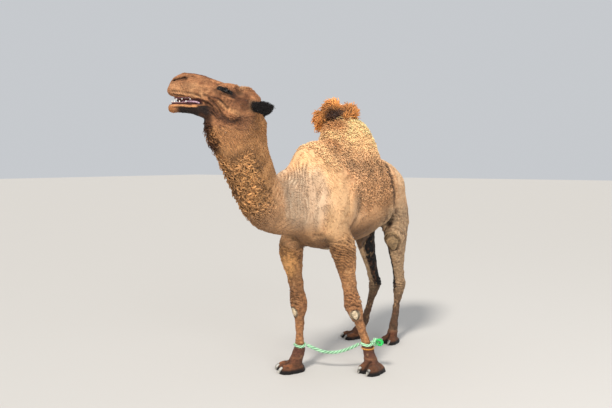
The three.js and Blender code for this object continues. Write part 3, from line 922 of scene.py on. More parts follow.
def paint_legs(coat, settings):
    """Brown forelegs and greyer hind legs with mottling, and painted shade on the hind legs' inner sides,
    under the belly round the sheath and down the backs of the lower legs.
    """
    x, _, z = coat.points.T
    fine, grain = coat.fine, coat.grain
    foreleg, hindleg = coat.part["foreleg"], coat.part["hindleg"]
    coat.paint(settings.foreleg_colour, foreleg)
    coat.paint(CREAM, foreleg * rising(z, 0.95, 1.12) * 0.35)
    coat.paint(SHANK, foreleg * rising(z, 0.85, 0.55) * 0.5)
    coat.paint(linear(154, 106, 68), foreleg * rising(z, 0.43, 0.36) * 0.8)
    coat.blot(linear(134, 92, 54), at(240, -480, 930), (120, 120, 180), 0.6)
    coat.blot(linear(212, 154, 94), at(-190, -600, 900), (120, 100, 180), 0.95)
    coat.paint(PASTERN, foreleg * rising(z, 0.235, 0.19))
    coat.paint(settings.hindleg_colour, hindleg)
    coat.paint(DARK_SHANK, hindleg * rising(z, 0.66, 0.34) * 0.92)
    # Painted shade on the inner sides of the hind legs, between the legs.
    inner = hindleg * rising(coat.normals[:, 0] * np.sign(x + 0.05), -0.15, -0.6)
    coat.paint(BLACK, inner * rising(z, 0.42, 0.56) * rising(z, 1.15, 0.98) * 1.2)
    # Painted shade under the belly round the sheath, between the hind legs.
    coat.blot(linear(66, 42, 26), at(30, 240, 980), (110, 170, 110), 0.85)
    legs = foreleg + hindleg
    coat.paint(linear(92, 60, 40), legs * rising(grain + fine, 0.25, 0.9) * 0.65)
    coat.paint(linear(210, 166, 120), legs * rising(grain - fine, 0.5, 1.2) * 0.35)
    # Painted shade down the back of each lower leg, beside the sinew.
    behind = Vector((0, 0.055, 0))
    for leg in LEG_NAMES:
        _, knee, pastern, _ = LEG_LINES[leg]
        sinew = [knee.lerp(pastern, t) + behind for t in (0.05, 0.5, 0.9)]
        coat.line(linear(80, 50, 32), sinew, 6, 24, 0.5)


def paint_feet(coat):
    """Red-brown feet with black soles."""
    foot, z = coat.part["foot"], coat.points[:, 2]
    coat.paint(FOOT, foot)
    coat.paint(linear(140, 84, 48), foot * rising(coat.fine, 0, 0.7) * 0.5)
    coat.paint(BLACK, foot * rising(z, 0.045, 0.022))
    coat.paint(PASTERN, foot * rising(z, 0.06, 0.10) * 0.7)
    coat.paint(linear(60, 36, 22), foot * rising(coat.grain + coat.fine, 0.4, 1.0) * 0.6)


def paint_face(coat, ground):
    """Pale muzzle, dark bridge and cheek, a painted highlight on the cheekbone, painted shade along the
    jaw, under the lips, at the temples and in the folds and nostrils, and the dark line of the eye.
    """
    head = coat.part["head"]
    _, back, up = coat.face.T
    patchy = 0.7 + 0.45 * cloud(coat.points, 0.035, 6)
    mottled = rising(cloud(coat.points, 0.022, 7) + 0.5 * cloud(coat.points, 0.010, 8), -0.2, 0.9)
    coat.paint(ground, head)
    coat.face_blot(FACE_LIGHT, (50, 170, 20), (50, 130, 70), 0.7 * patchy)
    coat.face_blot(FACE_LIGHT, (20, 60, 40), (60, 60, 60), 0.4)
    coat.face_blot(linear(104, 56, 28), (0, 220, 124), (34, 220, 50), 0.85)
    coat.paint(linear(108, 62, 34), head * mottled * rising(back, 60, 200) * 0.65)
    coat.face_blot(linear(196, 148, 102), (30, 466, 70), (80, 60, 44), 0.9)
    coat.face_blot(linear(96, 54, 30), (82, 300, -30), (40, 56, 60), 0.7 * patchy)
    coat.face_blot(linear(84, 50, 30), (92, 400, -62), (40, 70, 50), 0.7 * patchy)
    # Painted highlight along the ridge of the cheekbone.
    cheekbone = [(78, 330, -50), (90, 356, -74), (92, 400, -104), (88, 440, -116)]
    coat.face_line(linear(200, 146, 98), cheekbone, 6, 24, 0.6)
    # Painted shade in the hollow of the temple, in front of the ear.
    coat.face_blot(FACE_DARK, (90, 486, -30), (50, 70, 90), 0.85 * patchy)
    # Painted shadow along the jaw, from below the mouth's corner back under the cheek.
    jaw = [(60, 300, -130), (70, 350, -150), (74, 400, -168), (76, 450, -150)]
    coat.face_line(FACE_DARK, jaw, 8, 28, 0.75)
    coat.face_blot(FACE_DARK, (54, 262, -100), (40, 76, 44), 0.85)
    # Painted shade on the side of the lower jaw, under the lips.
    lower_jaw_shade = rising(up, -62, -70) * rising(back, 300, 240) * rising(back, 44, 84)
    coat.paint(linear(30, 15, 7), head * lower_jaw_shade)
    chin = rising(up, -50, -62)
    coat.face_blot(linear(164, 108, 62), (0, 18, -88), (60, 50, 40), chin * 0.9)
    lower_lip = [(34, 14, -62), (48, 70, -60), (52, 130, -58), (52, 180, -60)]
    coat.face_line(linear(184, 130, 84), lower_lip, 4, 9, 0.9)
    coat.face_line(linear(180, 132, 92), [(46, 24, 2), (60, 100, -12), (60, 190, -26)], 5, 14, 0.7)
    upper_lip = [(44, 34, -16), (54, 100, -33), (54, 200, -46), (62, 246, -62)]
    coat.face_line(FACE_DARK, upper_lip, 4, 11, 0.95)
    # Painted shade in the folds of the cheek.
    for fold in CHEEK_FOLDS:
        coat.face_line(linear(66, 36, 20), fold, 3, 11, 0.75)
    # Painted shade in the crease that runs back from the eye.
    coat.face_line(FACE_DARK, [(98, 412, -4), (96, 452, -20), (92, 492, -44)], 8, 26, 0.75)
    # Painted shade in the slit of the nostril and round it.
    coat.face_line(BLACK, NOSTRIL, 5, 9, 1)
    coat.face_line(FACE_DARK, NOSTRIL, 8, 18, 0.5)
    coat.face_line(FACE_DARK, EYE_PATCH[2:], 6, 22, 0.9)
    coat.face_line(BLACK, EYE_PATCH[:4], 11, 17, 1.2)
    coat.face_line(linear(90, 62, 46), [(88, 346, 12), (104, 372, 0), (100, 396, -10)], 3, 8, 0.6)


def paint_mouth_and_beard(coat):
    """Painted shade in the mouth's opening, the beard, the throat and the ears."""
    aside, back, up = coat.face.T
    # Painted shade in the opening of the mouth, between the lips.
    inside = coat.part["head"] * rising(up, -16, -26) * rising(up, -64, -54) * rising(back, 236, 210)
    coat.paint(linear(58, 22, 20), inside * (aside < 46) * rising(aside, 46, 36))
    coat.paint(BEARD, rising(to_path(coat.points, BEARD_LINE)[0], 0.048, 0.026))
    throat = [on_head(16, 215, -122), on_head(10, 262, -150), at(-60, -1672, 1925)]
    coat.line(linear(74, 44, 26), throat, 12, 34, 0.85)
    coat.paint(BLACK, coat.part["ear"] * 1.5)


def paint_calluses(coat):
    """Pale bare pads with painted shade in the grooves round them, and painted shade in the fold in front
    of the haunch.
    """
    for callus in FORE_CALLUSES:
        coat.blot(linear(196, 176, 146), callus, (50, 60, 56), 1, 0.3)
        # Painted shade in the groove round the pad.
        rim = callus_rim(coat.points, coat.normals, callus, *FORE_RIM)
        coat.line(linear(62, 40, 26), rim, 3, 12, 0.55 + 0.45 * coat.fine)
    for callus in STIFLE_CALLUSES:
        coat.blot(linear(150, 122, 86), callus, (92, 104, 106), 0.75, 0.2)
        # Painted shade in the groove round the pad.
        rim = callus_rim(coat.points, coat.normals, callus, *STIFLE_RIM)
        coat.line(linear(54, 34, 22), rim, 3, 12, 0.7 + 0.3 * coat.fine)
    coat.blot(CALLUS, at(0, -300, 960), (90, 115, 60), 0.9, 0.3)
    # Painted shade in the fold between the barrel and the haunch.
    for out in (1, -1):
        coat.line(linear(56, 34, 22), crease_line(out)[1:-1], 12, 38, 0.9)


def markings(mesh, weights, settings):
    """The colour of skin and coat at each point, with painted shade in the hollows of the skin and painted
    light on its ridges.
    """
    coat = Markings(mesh, weights, settings.coat_colour)
    paint_trunk(coat)
    paint_neck(coat)
    paint_belly_rump_and_crest(coat)
    paint_legs(coat, settings)
    paint_feet(coat)
    paint_face(coat, settings.face_colour)
    paint_mouth_and_beard(coat)
    paint_calluses(coat)
    # Painted shade in the skin's hollows and painted light on its ridges, strongest on the head, then the
    # legs.
    head, body = coat.part["head"], coat.part["hump"] + coat.part["trunk"]
    strength = 1 + 1.4 * head + 0.5 * (coat.part["foreleg"] + coat.part["hindleg"])
    small = np.minimum(relief_of(mesh, 4) * strength, 1.5)
    large = np.minimum(relief_of(mesh, 26) * strength, 3)
    hollows = np.clip(1 + 0.10 * small + 0.045 * large, 0.40 + 0.34 * np.clip(body, 0, 1), 1.25)
    mottle = 1 + 0.08 * coat.patch + 0.10 * coat.fine + (0.10 + 0.12 * head) * coat.grain
    return np.clip(coat.colour * hollows[:, None] * mottle[:, None], 0, 1)


def wool_share(mesh, weights):
    """How woolly the coat is: long and curled at 1, flat and short at 0."""
    points = coords(mesh)
    part = by_part(weights)
    along, front = on_neck(points)
    _, back, up = into_head(points).T
    _, y, z = points.T
    edge = cloud(points, 0.09, 9) * 0.35
    neck = part["neck"] * rising(along, 0.58, 0.84) * rising(along + 0.25 * edge, 1.16, 1.00)
    neck *= rising(front + 0.10 * edge, 0.0, 0.095)
    flank = part["trunk"] * rising(z, 1.25, 1.6) * rising(y, 0.1, 0.25) * rising(y, 0.78, 0.66)
    to_withers = np.linalg.norm(points - np.array(at(60, -400, 1830)), axis=1)
    withers = part["trunk"] * rising(to_withers, 0.30, 0.16)
    poll = part["head"] * rising(back, 420, 480) * rising(up, -20, 20)
    wool = part["hump"] + neck + flank * (1 + edge) + withers + poll * 0.5
    return np.clip(wool, 0, 1) * (1 - part["ear"])


def coat_depth(weights, wool):
    """How thick the coat is over the skin, in metres."""
    flat = weights @ np.array([COAT_DEPTHS[name] for name in PART_NAMES])
    return (flat + wool * WOOL_DEPTH) * MM


def crease_share(weights, points):
    """How much the bare-looking skin creases, and so how much painted shade its fine creases get: on legs,
    feet, neck and face.
    """
    part = by_part(weights)
    chest = part["trunk"] * rising(points[:, 2], 1.3, 1.0) * rising(points[:, 1], 0.2, -0.1)
    low_neck = part["neck"] * rising(to_path(points, NECK_SPINE)[1], 1.0, 0.6)
    legs = part["foreleg"] + part["hindleg"] + 0.7 * part["foot"]
    return np.clip(legs + 0.5 * part["head"] + 0.7 * chest + 0.6 * low_neck, 0, 1)


def set_attribute(mesh, name, kind, values):
    """Gives each point a value of its own, by a name that materials can read."""
    layer = mesh.attributes.new(name, kind, "POINT")
    field = "color" if kind == "FLOAT_COLOR" else "vector" if kind == "FLOAT_VECTOR" else "value"
    layer.data.foreach_set(field, np.asarray(values, np.float32).ravel())


def set_markings(mesh, shades):
    """Gives the points their colours, one to a row."""
    opaque = np.ones(len(shades))
    set_attribute(mesh, "markings", "FLOAT_COLOR", np.column_stack((shades, opaque)))


def get_attribute(mesh, name, width):
    """The points' values by a name, each width numbers long."""
    layer = mesh.attributes[name]
    field = {1: "value", 3: "vector", 4: "color"}[width]
    flat = np.empty(len(layer.data) * width, np.float32)
    layer.data.foreach_get(field, flat)
    return flat.reshape(-1, width).astype(float)


# ---- Materials ----


def new_material(name):
    """A new material, its node tree and its surface node."""
    material = bpy.data.materials.new(name)
    material.use_nodes = True
    tree = material.node_tree
    return material, tree, tree.nodes["Principled BSDF"]


def coat_grain_and_crease_shade():
    """A node group: lighter and darker hair, the height of its strands, and fine creases in the skin with
    painted shade in them.
    """
    if "coat_grain_and_crease_shade" in bpy.data.node_groups:
        return bpy.data.node_groups["coat_grain_and_crease_shade"]
    tree = bpy.data.node_groups.new("coat_grain_and_crease_shade", "ShaderNodeTree")
    for name, kind, value in (
        ("Colour", "NodeSocketColor", (0.5, 0.4, 0.3, 1)),
        ("Contrast", "NodeSocketFloat", 0.25),
        ("Scale", "NodeSocketFloat", 60),
        ("Creases", "NodeSocketFloat", 0),
    ):
        socket = tree.interface.new_socket(name, in_out="INPUT", socket_type=kind)
        socket.default_value = value
    tree.interface.new_socket("Colour", in_out="OUTPUT", socket_type="NodeSocketColor")
    tree.interface.new_socket("Height", in_out="OUTPUT", socket_type="NodeSocketFloat")
    nodes, links = tree.nodes, tree.links
    given = nodes.new("NodeGroupInput")
    out = nodes.new("NodeGroupOutput")
    place = nodes.new("ShaderNodeTexCoord")

    def noise(scale, detail, rough, stretch):
        """Noise in the piece's own space, stretched along its axes."""
        lay = nodes.new("ShaderNodeMapping")
        lay.inputs["Scale"].default_value = stretch
        links.new(place.outputs["Object"], lay.inputs["Vector"])
        made = nodes.new("ShaderNodeTexNoise")
        made.inputs["Scale"].default_value = scale
        made.inputs["Detail"].default_value = detail
        made.inputs["Roughness"].default_value = rough
        links.new(lay.outputs["Vector"], made.inputs["Vector"])
        return made

    def maths(operation, *values):
        """One sum on numbers or sockets."""
        node = nodes.new("ShaderNodeMath")
        node.operation = operation
        for socket, value in zip(node.inputs, values):
            if isinstance(value, (int, float)):
                socket.default_value = value
            else:
                links.new(value, socket)
        return node.outputs["Value"]

    strands = noise(60, 6, 0.7, (1.0, 1.0, 0.45))
    links.new(given.outputs["Scale"], strands.inputs["Scale"])
    patches = noise(13, 4, 0.6, (1.0, 1.0, 0.8))
    folds = noise(24, 4, 0.55, (1.0, 1.0, 2.4))
    off_middle = maths("ABSOLUTE", maths("SUBTRACT", folds.outputs["Fac"], 0.5))
    flat_share = maths("MINIMUM", maths("MULTIPLY", off_middle, 16), 1)
    crease = maths("MULTIPLY", maths("SUBTRACT", 1, flat_share), given.outputs["Creases"])
    both = maths("ADD", strands.outputs["Fac"], patches.outputs["Fac"])
    swing = maths("MULTIPLY", maths("SUBTRACT", both, 1), given.outputs["Contrast"])
    gain = maths("MULTIPLY_ADD", swing, 4, 1)
    # Painted shade: darker along the fine creases.
    gain = maths("MULTIPLY", gain, maths("SUBTRACT", 1, maths("MULTIPLY", crease, 0.42)))
    tint = nodes.new("ShaderNodeVectorMath")
    tint.operation = "SCALE"
    links.new(given.outputs["Colour"], tint.inputs[0])
    links.new(gain, tint.inputs["Scale"])
    links.new(tint.outputs["Vector"], out.inputs["Colour"])
    height = maths("SUBTRACT", strands.outputs["Fac"], maths("MULTIPLY", crease, 0.8))
    links.new(height, out.inputs["Height"])
    return tree


def hair_material(name, contrast, scale, bump, depth, roughness=0.75, sheen=0.25, creased=False):
    """Hair or skin in the colours of its points, with strands and patches of its own."""
    material, tree, surface = new_material(name)
    nodes, links = tree.nodes, tree.links
    source = nodes.new("ShaderNodeAttribute")
    source.attribute_name = "markings"
    grain = nodes.new("ShaderNodeGroup")
    grain.node_tree = coat_grain_and_crease_shade()
    grain.inputs["Contrast"].default_value = contrast
    grain.inputs["Scale"].default_value = scale
    links.new(source.outputs["Color"], grain.inputs["Colour"])
    if creased:
        creases = nodes.new("ShaderNodeAttribute")
        creases.attribute_name = "creases"
        links.new(creases.outputs["Fac"], grain.inputs["Creases"])
    links.new(grain.outputs["Colour"], surface.inputs["Base Color"])
    relief = nodes.new("ShaderNodeBump")
    relief.inputs["Strength"].default_value = bump
    relief.inputs["Distance"].default_value = depth
    links.new(grain.outputs["Height"], relief.inputs["Height"])
    links.new(relief.outputs["Normal"], surface.inputs["Normal"])
    surface.inputs["Roughness"].default_value = roughness
    surface.inputs["Sheen Weight"].default_value = sheen
    surface.inputs["Sheen Roughness"].default_value = 0.5
    surface.inputs["Specular IOR Level"].default_value = 0.25
    return material


def speckled_material(name, first, second, scale, roughness, bump, distance=0.001):
    """Two colours in uneven patches, with a fine relief."""
    material, tree, surface = new_material(name)
    nodes, links = tree.nodes, tree.links
    place = nodes.new("ShaderNodeTexCoord")
    noise = nodes.new("ShaderNodeTexNoise")
    noise.inputs["Scale"].default_value = scale
    noise.inputs["Detail"].default_value = 5
    links.new(place.outputs["Object"], noise.inputs["Vector"])
    ramp = nodes.new("ShaderNodeValToRGB")
    ramp.color_ramp.elements[0].position = 0.35
    ramp.color_ramp.elements[1].position = 0.65
    ramp.color_ramp.elements[0].color = (*first, 1)
    ramp.color_ramp.elements[1].color = (*second, 1)
    links.new(noise.outputs["Fac"], ramp.inputs["Fac"])
    links.new(ramp.outputs["Color"], surface.inputs["Base Color"])
    relief = nodes.new("ShaderNodeBump")
    relief.inputs["Strength"].default_value = bump
    relief.inputs["Distance"].default_value = distance
    links.new(noise.outputs["Fac"], relief.inputs["Height"])
    links.new(relief.outputs["Normal"], surface.inputs["Normal"])
    surface.inputs["Roughness"].default_value = roughness
    return material


# ---- Locks of hair ----


def add_piece(name, mesh, material):
    """Puts a finished mesh in the scene as a piece of the animal."""
    mesh.name = name
    mesh.materials.clear()
    mesh.materials.append(material)
    piece = bpy.data.objects.new(name, mesh)
    bpy.context.scene.collection.objects.link(piece)
    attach(piece, ROOT)
    return piece


def lock_mesh(lines, up, width, flat, colours, spots, tip=0.12, shades=(0.72, 1.12)):
    """Tapered closed locks along lines of points, thickest a third of the way along.

    lines is (locks, rings, 3), up the way each lock's flat side faces, spots its place on the map
    and shades how far painted shade darkens its root and painted light lightens its tip."""
    count, rings, _ = lines.shape
    sides = 3
    way = unit(np.gradient(lines, axis=1))
    across = unit(np.cross(way, up[:, None, :]))
    above = np.cross(across, way)
    along = np.linspace(0, 1, rings)
    swell = np.interp(along, (0, 0.3, 0.75, 1), (0.6, 1, 0.8, tip))
    angle = np.arange(sides) * 2 * math.pi / sides + math.pi / 2
    reach = width[:, None, None] * swell[None, :, None] / 2
    offset = (
        across[:, :, None, :] * (reach * np.cos(angle))[..., None]
        + above[:, :, None, :] * (reach * np.sin(angle) * flat)[..., None]
    )
    body = lines[:, :-1, None, :] + offset[:, :-1]
    points = np.concatenate((body.reshape(count, -1, 3), lines[:, -1:, :]), axis=1)
    each = points.shape[1]
    faces = [(0, 2, 1)]
    for ring in range(rings - 2):
        for side in range(sides):
            a = ring * sides + side
            b = ring * sides + (side + 1) % sides
            faces += [(a, b, b + sides), (a, b + sides, a + sides)]
    last = (rings - 2) * sides
    faces += [(last + side, last + (side + 1) % sides, each - 1) for side in range(sides)]
    faces = np.array(faces)
    corners = (faces[None] + (np.arange(count) * each)[:, None, None]).reshape(-1)
    mesh = bpy.data.meshes.new("locks")
    mesh.vertices.add(count * each)
    mesh.vertices.foreach_set("co", points.astype(np.float32).ravel())
    mesh.loops.add(len(corners))
    mesh.loops.foreach_set("vertex_index", corners.astype(np.int32))
    mesh.polygons.add(len(corners) // 3)
    mesh.polygons.foreach_set("loop_start", np.arange(0, len(corners), 3, dtype=np.int32))
    mesh.update(calc_edges=True)
    ring_share = np.append(np.repeat(along[:-1], sides), 1)
    # Painted shade at each lock's root and painted light at its tip.
    shade = shades[0] + (shades[1] - shades[0]) * ring_share
    tinted = colours[:, None, :] * shade[None, :, None]
    tinted = np.concatenate((np.clip(tinted, 0, 1), np.ones((count, each, 1))), axis=2)
    set_attribute(mesh, "markings", "FLOAT_COLOR", tinted)
    patch = 0.003
    round_lock = np.append(np.tile(np.cos(angle), rings - 1), 0) * 0.5
    spread = np.stack((round_lock, ring_share - 0.5), 1)
    chart = spots[:, None, :] + spread[None] * patch
    layer = mesh.uv_layers.new(name="OFBake")
    layer.data.foreach_set("uv", chart.reshape(-1, 2)[corners].astype(np.float32).ravel())
    return mesh


# Places are tried at random and one is kept in each cell; the key makes one number of a cell's three.
TRIES_PER_CELL = 3.2
CELL_KEY = (73856093, 19349663, 83492791)


class Roots:
    """Places on the skin where locks grow, with what the skin says there."""

    def __init__(self, piece, mask, spacing, seed):
        mesh = piece.data
        mesh.calc_loop_triangles()
        corners = np.empty(len(mesh.loop_triangles) * 3, np.int64)
        mesh.loop_triangles.foreach_get("vertices", corners)
        corners = corners.reshape(-1, 3)
        points = coords(mesh)
        chosen = corners[mask[corners].mean(1) > 0.5]
        a, b, c = (points[chosen[:, k]] for k in range(3))
        area = np.linalg.norm(np.cross(b - a, c - a), axis=1) / 2
        rng = np.random.default_rng(seed)
        wanted = int(TRIES_PER_CELL * area.sum() / spacing**2)
        picks = rng.choice(len(chosen), wanted, p=area / area.sum())
        u, v = rng.random((2, wanted))
        u, v = np.where(u + v > 1, 1 - u, u), np.where(u + v > 1, 1 - v, v)
        share = np.stack((1 - u - v, u, v), 1)
        place = (points[chosen[picks]] * share[:, :, None]).sum(1)
        cells = np.floor(place / spacing).astype(np.int64)
        _, kept = np.unique(cells @ CELL_KEY, return_index=True)
        self.rng = rng
        self.place = place[kept]
        self.corners = chosen[picks[kept]]
        self.share = share[kept]
        self.normal = unit(self.read(normals_of(mesh)))
        self.lie = unit(self.read(get_attribute(mesh, "lie", 3)))
        self.colour = self.read(get_attribute(mesh, "markings", 4))[:, :3]
        self.count = len(self.place)

    def read(self, values):
        """The skin's values at the roots, mixed from the corners of the faces they stand on."""
        return (values[self.corners] * self.share[:, :, None]).sum(1)

    def turned(self, spread):
        """The lie, turned about the normal by a random angle up to spread radians."""
        angle = self.rng.uniform(-1, 1, self.count) * spread
        side = np.cross(self.normal, self.lie)
        return self.lie * np.cos(angle)[:, None] + side * np.sin(angle)[:, None]


def chart_of(places, line):
    """Places on an unwrap round a line: along it, and round it, scaled to fill the map."""
    _, along, way = to_path(places, line)
    off = places - middle_of(along, line)
    first = unit(np.cross(way, (0.31, 0.2, 0.93)))
    second = np.cross(way, first)
    angle = np.arctan2((off * second).sum(1), (off * first).sum(1)) / (2 * math.pi) + 0.5
    run = along + (off * way).sum(1)
    run = (run - run.min()) / max(np.ptp(run), 1e-6)
    return np.stack((0.01 + 0.98 * run, 0.01 + 0.98 * angle), 1)


def fur(name, roots, line, material, slot, length, width, rise, spread, flat=0.45, rings=3, bend=0.0,
        coil=0.0, coils=1.0, shades=(0.8, 1.1), contrast=0.10, sink=0.12):
    """Locks that lie along the skin, lift towards their tips and may wind in coils, with painted shade at
    their roots and painted light at their tips.
    """
    rng = roots.rng
    count = roots.count
    long = length * rng.uniform(0.7, 1.3, count)
    way = roots.turned(spread)
    side = np.cross(roots.normal, way)
    share = np.linspace(0, 1, rings)
    lift = rise * rng.uniform(0.5, 1.3, count)
    swing = rng.uniform(-1, 1, count) * bend * long
    phase = rng.uniform(0, 2 * math.pi, count)[:, None]
    turn = 2 * math.pi * coils * share[None] + phase
    loop = coil * rng.uniform(0.7, 1.3, count)[:, None]
    forward = long[:, None] * (share[None] - sink)
    height = -0.002 + lift[:, None] * np.sin(share * math.pi * 0.62)[None]
    height = height + loop * 0.6 * (1 + np.cos(turn)) * share[None] ** 0.5
    aside = swing[:, None] * np.sin(share * math.pi)[None] + loop * (np.sin(turn) - np.sin(phase))
    lines = (
        roots.place[:, None, :]
        + way[:, None, :] * forward[..., None]
        + roots.normal[:, None, :] * height[..., None]
        + side[:, None, :] * aside[..., None]
    )
    colours = roots.colour * (1 + rng.normal(0, contrast, count))[:, None]
    spots = chart_of(roots.place, line)
    wide = width * rng.uniform(0.75, 1.25, count)
    mesh = lock_mesh(lines, roots.normal, wide, flat, colours, spots, shades=shades)
    return add_piece(name, mesh, material)


# How locks of each kind are made; CURLS, LOCKS and SMALL are wool. Shades are the painted shade at a lock's
# root and the painted light at its tip.
CURLS = {"rings": 6, "coil": 0.0055, "coils": 1.0, "shades": (0.36, 1.5), "contrast": 0.16}
LOCKS = {"rings": 7, "coil": 0.0095, "coils": 1.1, "shades": (0.20, 1.45), "contrast": 0.2}
SMALL = {"rings": 5, "coil": 0.0036, "coils": 0.9, "shades": (0.44, 1.3), "contrast": 0.15}
FINE = {"rings": 4, "coil": 0.0022, "coils": 0.8, "shades": (0.52, 1.3), "contrast": 0.2}
FLAT = {"bend": 0.05, "contrast": 0.10, "shades": (0.84, 1.12)}
SHORT = {"bend": 0.05, "contrast": 0.08, "shades": (0.88, 1.08)}
TUFTED = {"rings": 4, "bend": 0.2, "shades": (0.6, 1.5)}
MOP = {"rings": 6, "coils": 0.9, "shades": (0.42, 1.35), "contrast": 0.18}
TASSEL = {"rings": 4, "bend": 0.15, "shades": (0.5, 1.3)}

# The lines that the maps of the locks are unrolled round.
BACK_LINE = [at(0, -900, 1400), at(0, 900, 1450)]
HEAD_LINE = [on_head(0, 0, 0), on_head(0, 650, -60)]
FORE_LINE = [at(0, -400, 0), at(0, -400, 1300)]
HIND_LINE = [at(0, 500, 0), at(0, 500, 1300)]

# Each kind's line for its map, spacing, length, width and lift in metres, spread in radians and make.
COAT_JOBS = (
    ("curls_left", BACK_LINE, 0.0125, 0.026, 0.0098, 0.010, 1.6, CURLS),
    ("curls_right", BACK_LINE, 0.0125, 0.026, 0.0098, 0.010, 1.6, CURLS),
    ("flat_left", BACK_LINE, 0.0108, 0.031, 0.0056, 0.0030, 0.25, FLAT),
    ("flat_right", BACK_LINE, 0.0108, 0.031, 0.0056, 0.0030, 0.25, FLAT),
    ("neck_locks", NECK_SPINE, 0.0180, 0.044, 0.018, 0.012, 1.2, LOCKS),
    ("neck_curls", NECK_SPINE, 0.0140, 0.030, 0.010, 0.008, 1.2, LOCKS),
    ("neck_fine", NECK_SPINE, 0.0098, 0.024, 0.0052, 0.0050, 0.7, FINE),
    ("neck_flat", NECK_SPINE, 0.0112, 0.030, 0.0065, 0.0040, 0.35, FLAT),
    ("beard", NECK_SPINE, 0.0088, 0.042, 0.0075, 0.012, 0.6, LOCKS),
    ("poll_tuft", HEAD_LINE, 0.0064, 0.018, 0.0034, 0.006, 0.8, FINE),
    ("jowl_hair", HEAD_LINE, 0.0085, 0.026, 0.0045, 0.0045, 0.5, FINE),
    ("head_left", HEAD_LINE, 0.0056, 0.015, 0.0030, 0.0026, 0.35, SHORT),
    ("head_right", HEAD_LINE, 0.0056, 0.015, 0.0030, 0.0026, 0.35, SHORT),
    ("ear_hair", HEAD_LINE, 0.0054, 0.018, 0.0040, 0.0055, 0.6, TUFTED),
    ("foreleg_hair", FORE_LINE, 0.0095, 0.019, 0.0052, 0.0018, 0.25, SHORT),
    ("hindleg_hair", HIND_LINE, 0.0102, 0.021, 0.0056, 0.0020, 0.25, SHORT),
    ("edge_left", BACK_LINE, 0.0105, 0.020, 0.0058, 0.0055, 1.2, SMALL),
    ("edge_right", BACK_LINE, 0.0105, 0.020, 0.0058, 0.0055, 1.2, SMALL),
    ("neck_edge", NECK_SPINE, 0.0105, 0.024, 0.0066, 0.0065, 1.0, SMALL),
    ("crest", BACK_LINE, 0.0130, 0.044, 0.0085, 0.016, 1.2, LOCKS),
    ("tail_hair", BACK_LINE, 0.010, 0.028, 0.006, 0.004, 0.3, FLAT),
)


def coat_areas(mesh):
    """Where each kind of lock grows on the skin."""
    points = coords(mesh)
    part = {name: get_attribute(mesh, f"part_{name}", 1)[:, 0] for name in PART_NAMES}
    wool = get_attribute(mesh, "wool", 1)[:, 0]
    aside, back, up = into_head(points).T
    body = part["trunk"] + part["hump"] > 0.5
    neck = part["neck"] > 0.5
    upper = to_path(points, NECK_SPINE)[1] > 0.98
    left = points[:, 0] > 0.0
    lips = (back < 236) & (up > -62) & (up < -8) & (np.abs(aside) < 44)
    head = (part["head"] > 0.5) & (from_eyes(points) > 0.027) & ~lips
    edge = (wool > 0.06) & (wool < 0.45)
    to_crest = np.linalg.norm(points - np.array(at(15, -230, 1990)), axis=1)
    return {
        "curls_left": body & (wool > 0.35) & left,
        "curls_right": body & (wool > 0.35) & ~left,
        "flat_left": body & (wool <= 0.35) & left,
        "flat_right": body & (wool <= 0.35) & ~left,
        "neck_locks": neck & (wool > 0.5),
        "neck_curls": neck & (wool > 0.2),
        "neck_fine": neck & (wool <= 0.3) & upper,
        "neck_flat": neck & (wool <= 0.3) & ~upper,
        "beard": to_path(points, BEARD_LINE)[0] < 0.038,
        "poll_tuft": head & (up > 30) & (back > 425),
        "jowl_hair": (head | neck) & (back > 300) & (up < -118) & (up > -260),
        "head_left": head & (aside > 0),
        "head_right": head & (aside <= 0),
        "ear_hair": part["ear"] > 0.4,
        "foreleg_hair": part["foreleg"] > 0.5,
        "hindleg_hair": part["hindleg"] > 0.5,
        "edge_left": body & edge & left,
        "edge_right": body & edge & ~left,
        "neck_edge": neck & edge,
        "crest": body & (to_crest < 0.13),
        "tail_hair": part["tail"] > 0.5,
    }


# ---- Ropes ----


def smooth_path(path, steps):
    """A Catmull-Rom curve through given points."""
    path = np.array([tuple(p) for p in path])
    ends = np.vstack((2 * path[0] - path[1], path, 2 * path[-1] - path[-2]))
    made = []
    for i in range(len(path) - 1):
        p0, p1, p2, p3 = ends[i:i + 4]
        for t in np.linspace(0, 1, steps, endpoint=False):
            made.append(0.5 * (2 * p1 + (p2 - p0) * t + (2 * p0 - 5 * p1 + 4 * p2 - p3) * t**2
                               + (3 * p1 - p0 - 3 * p2 + p3) * t**3))
    made.append(path[-1])
    return np.array(made)


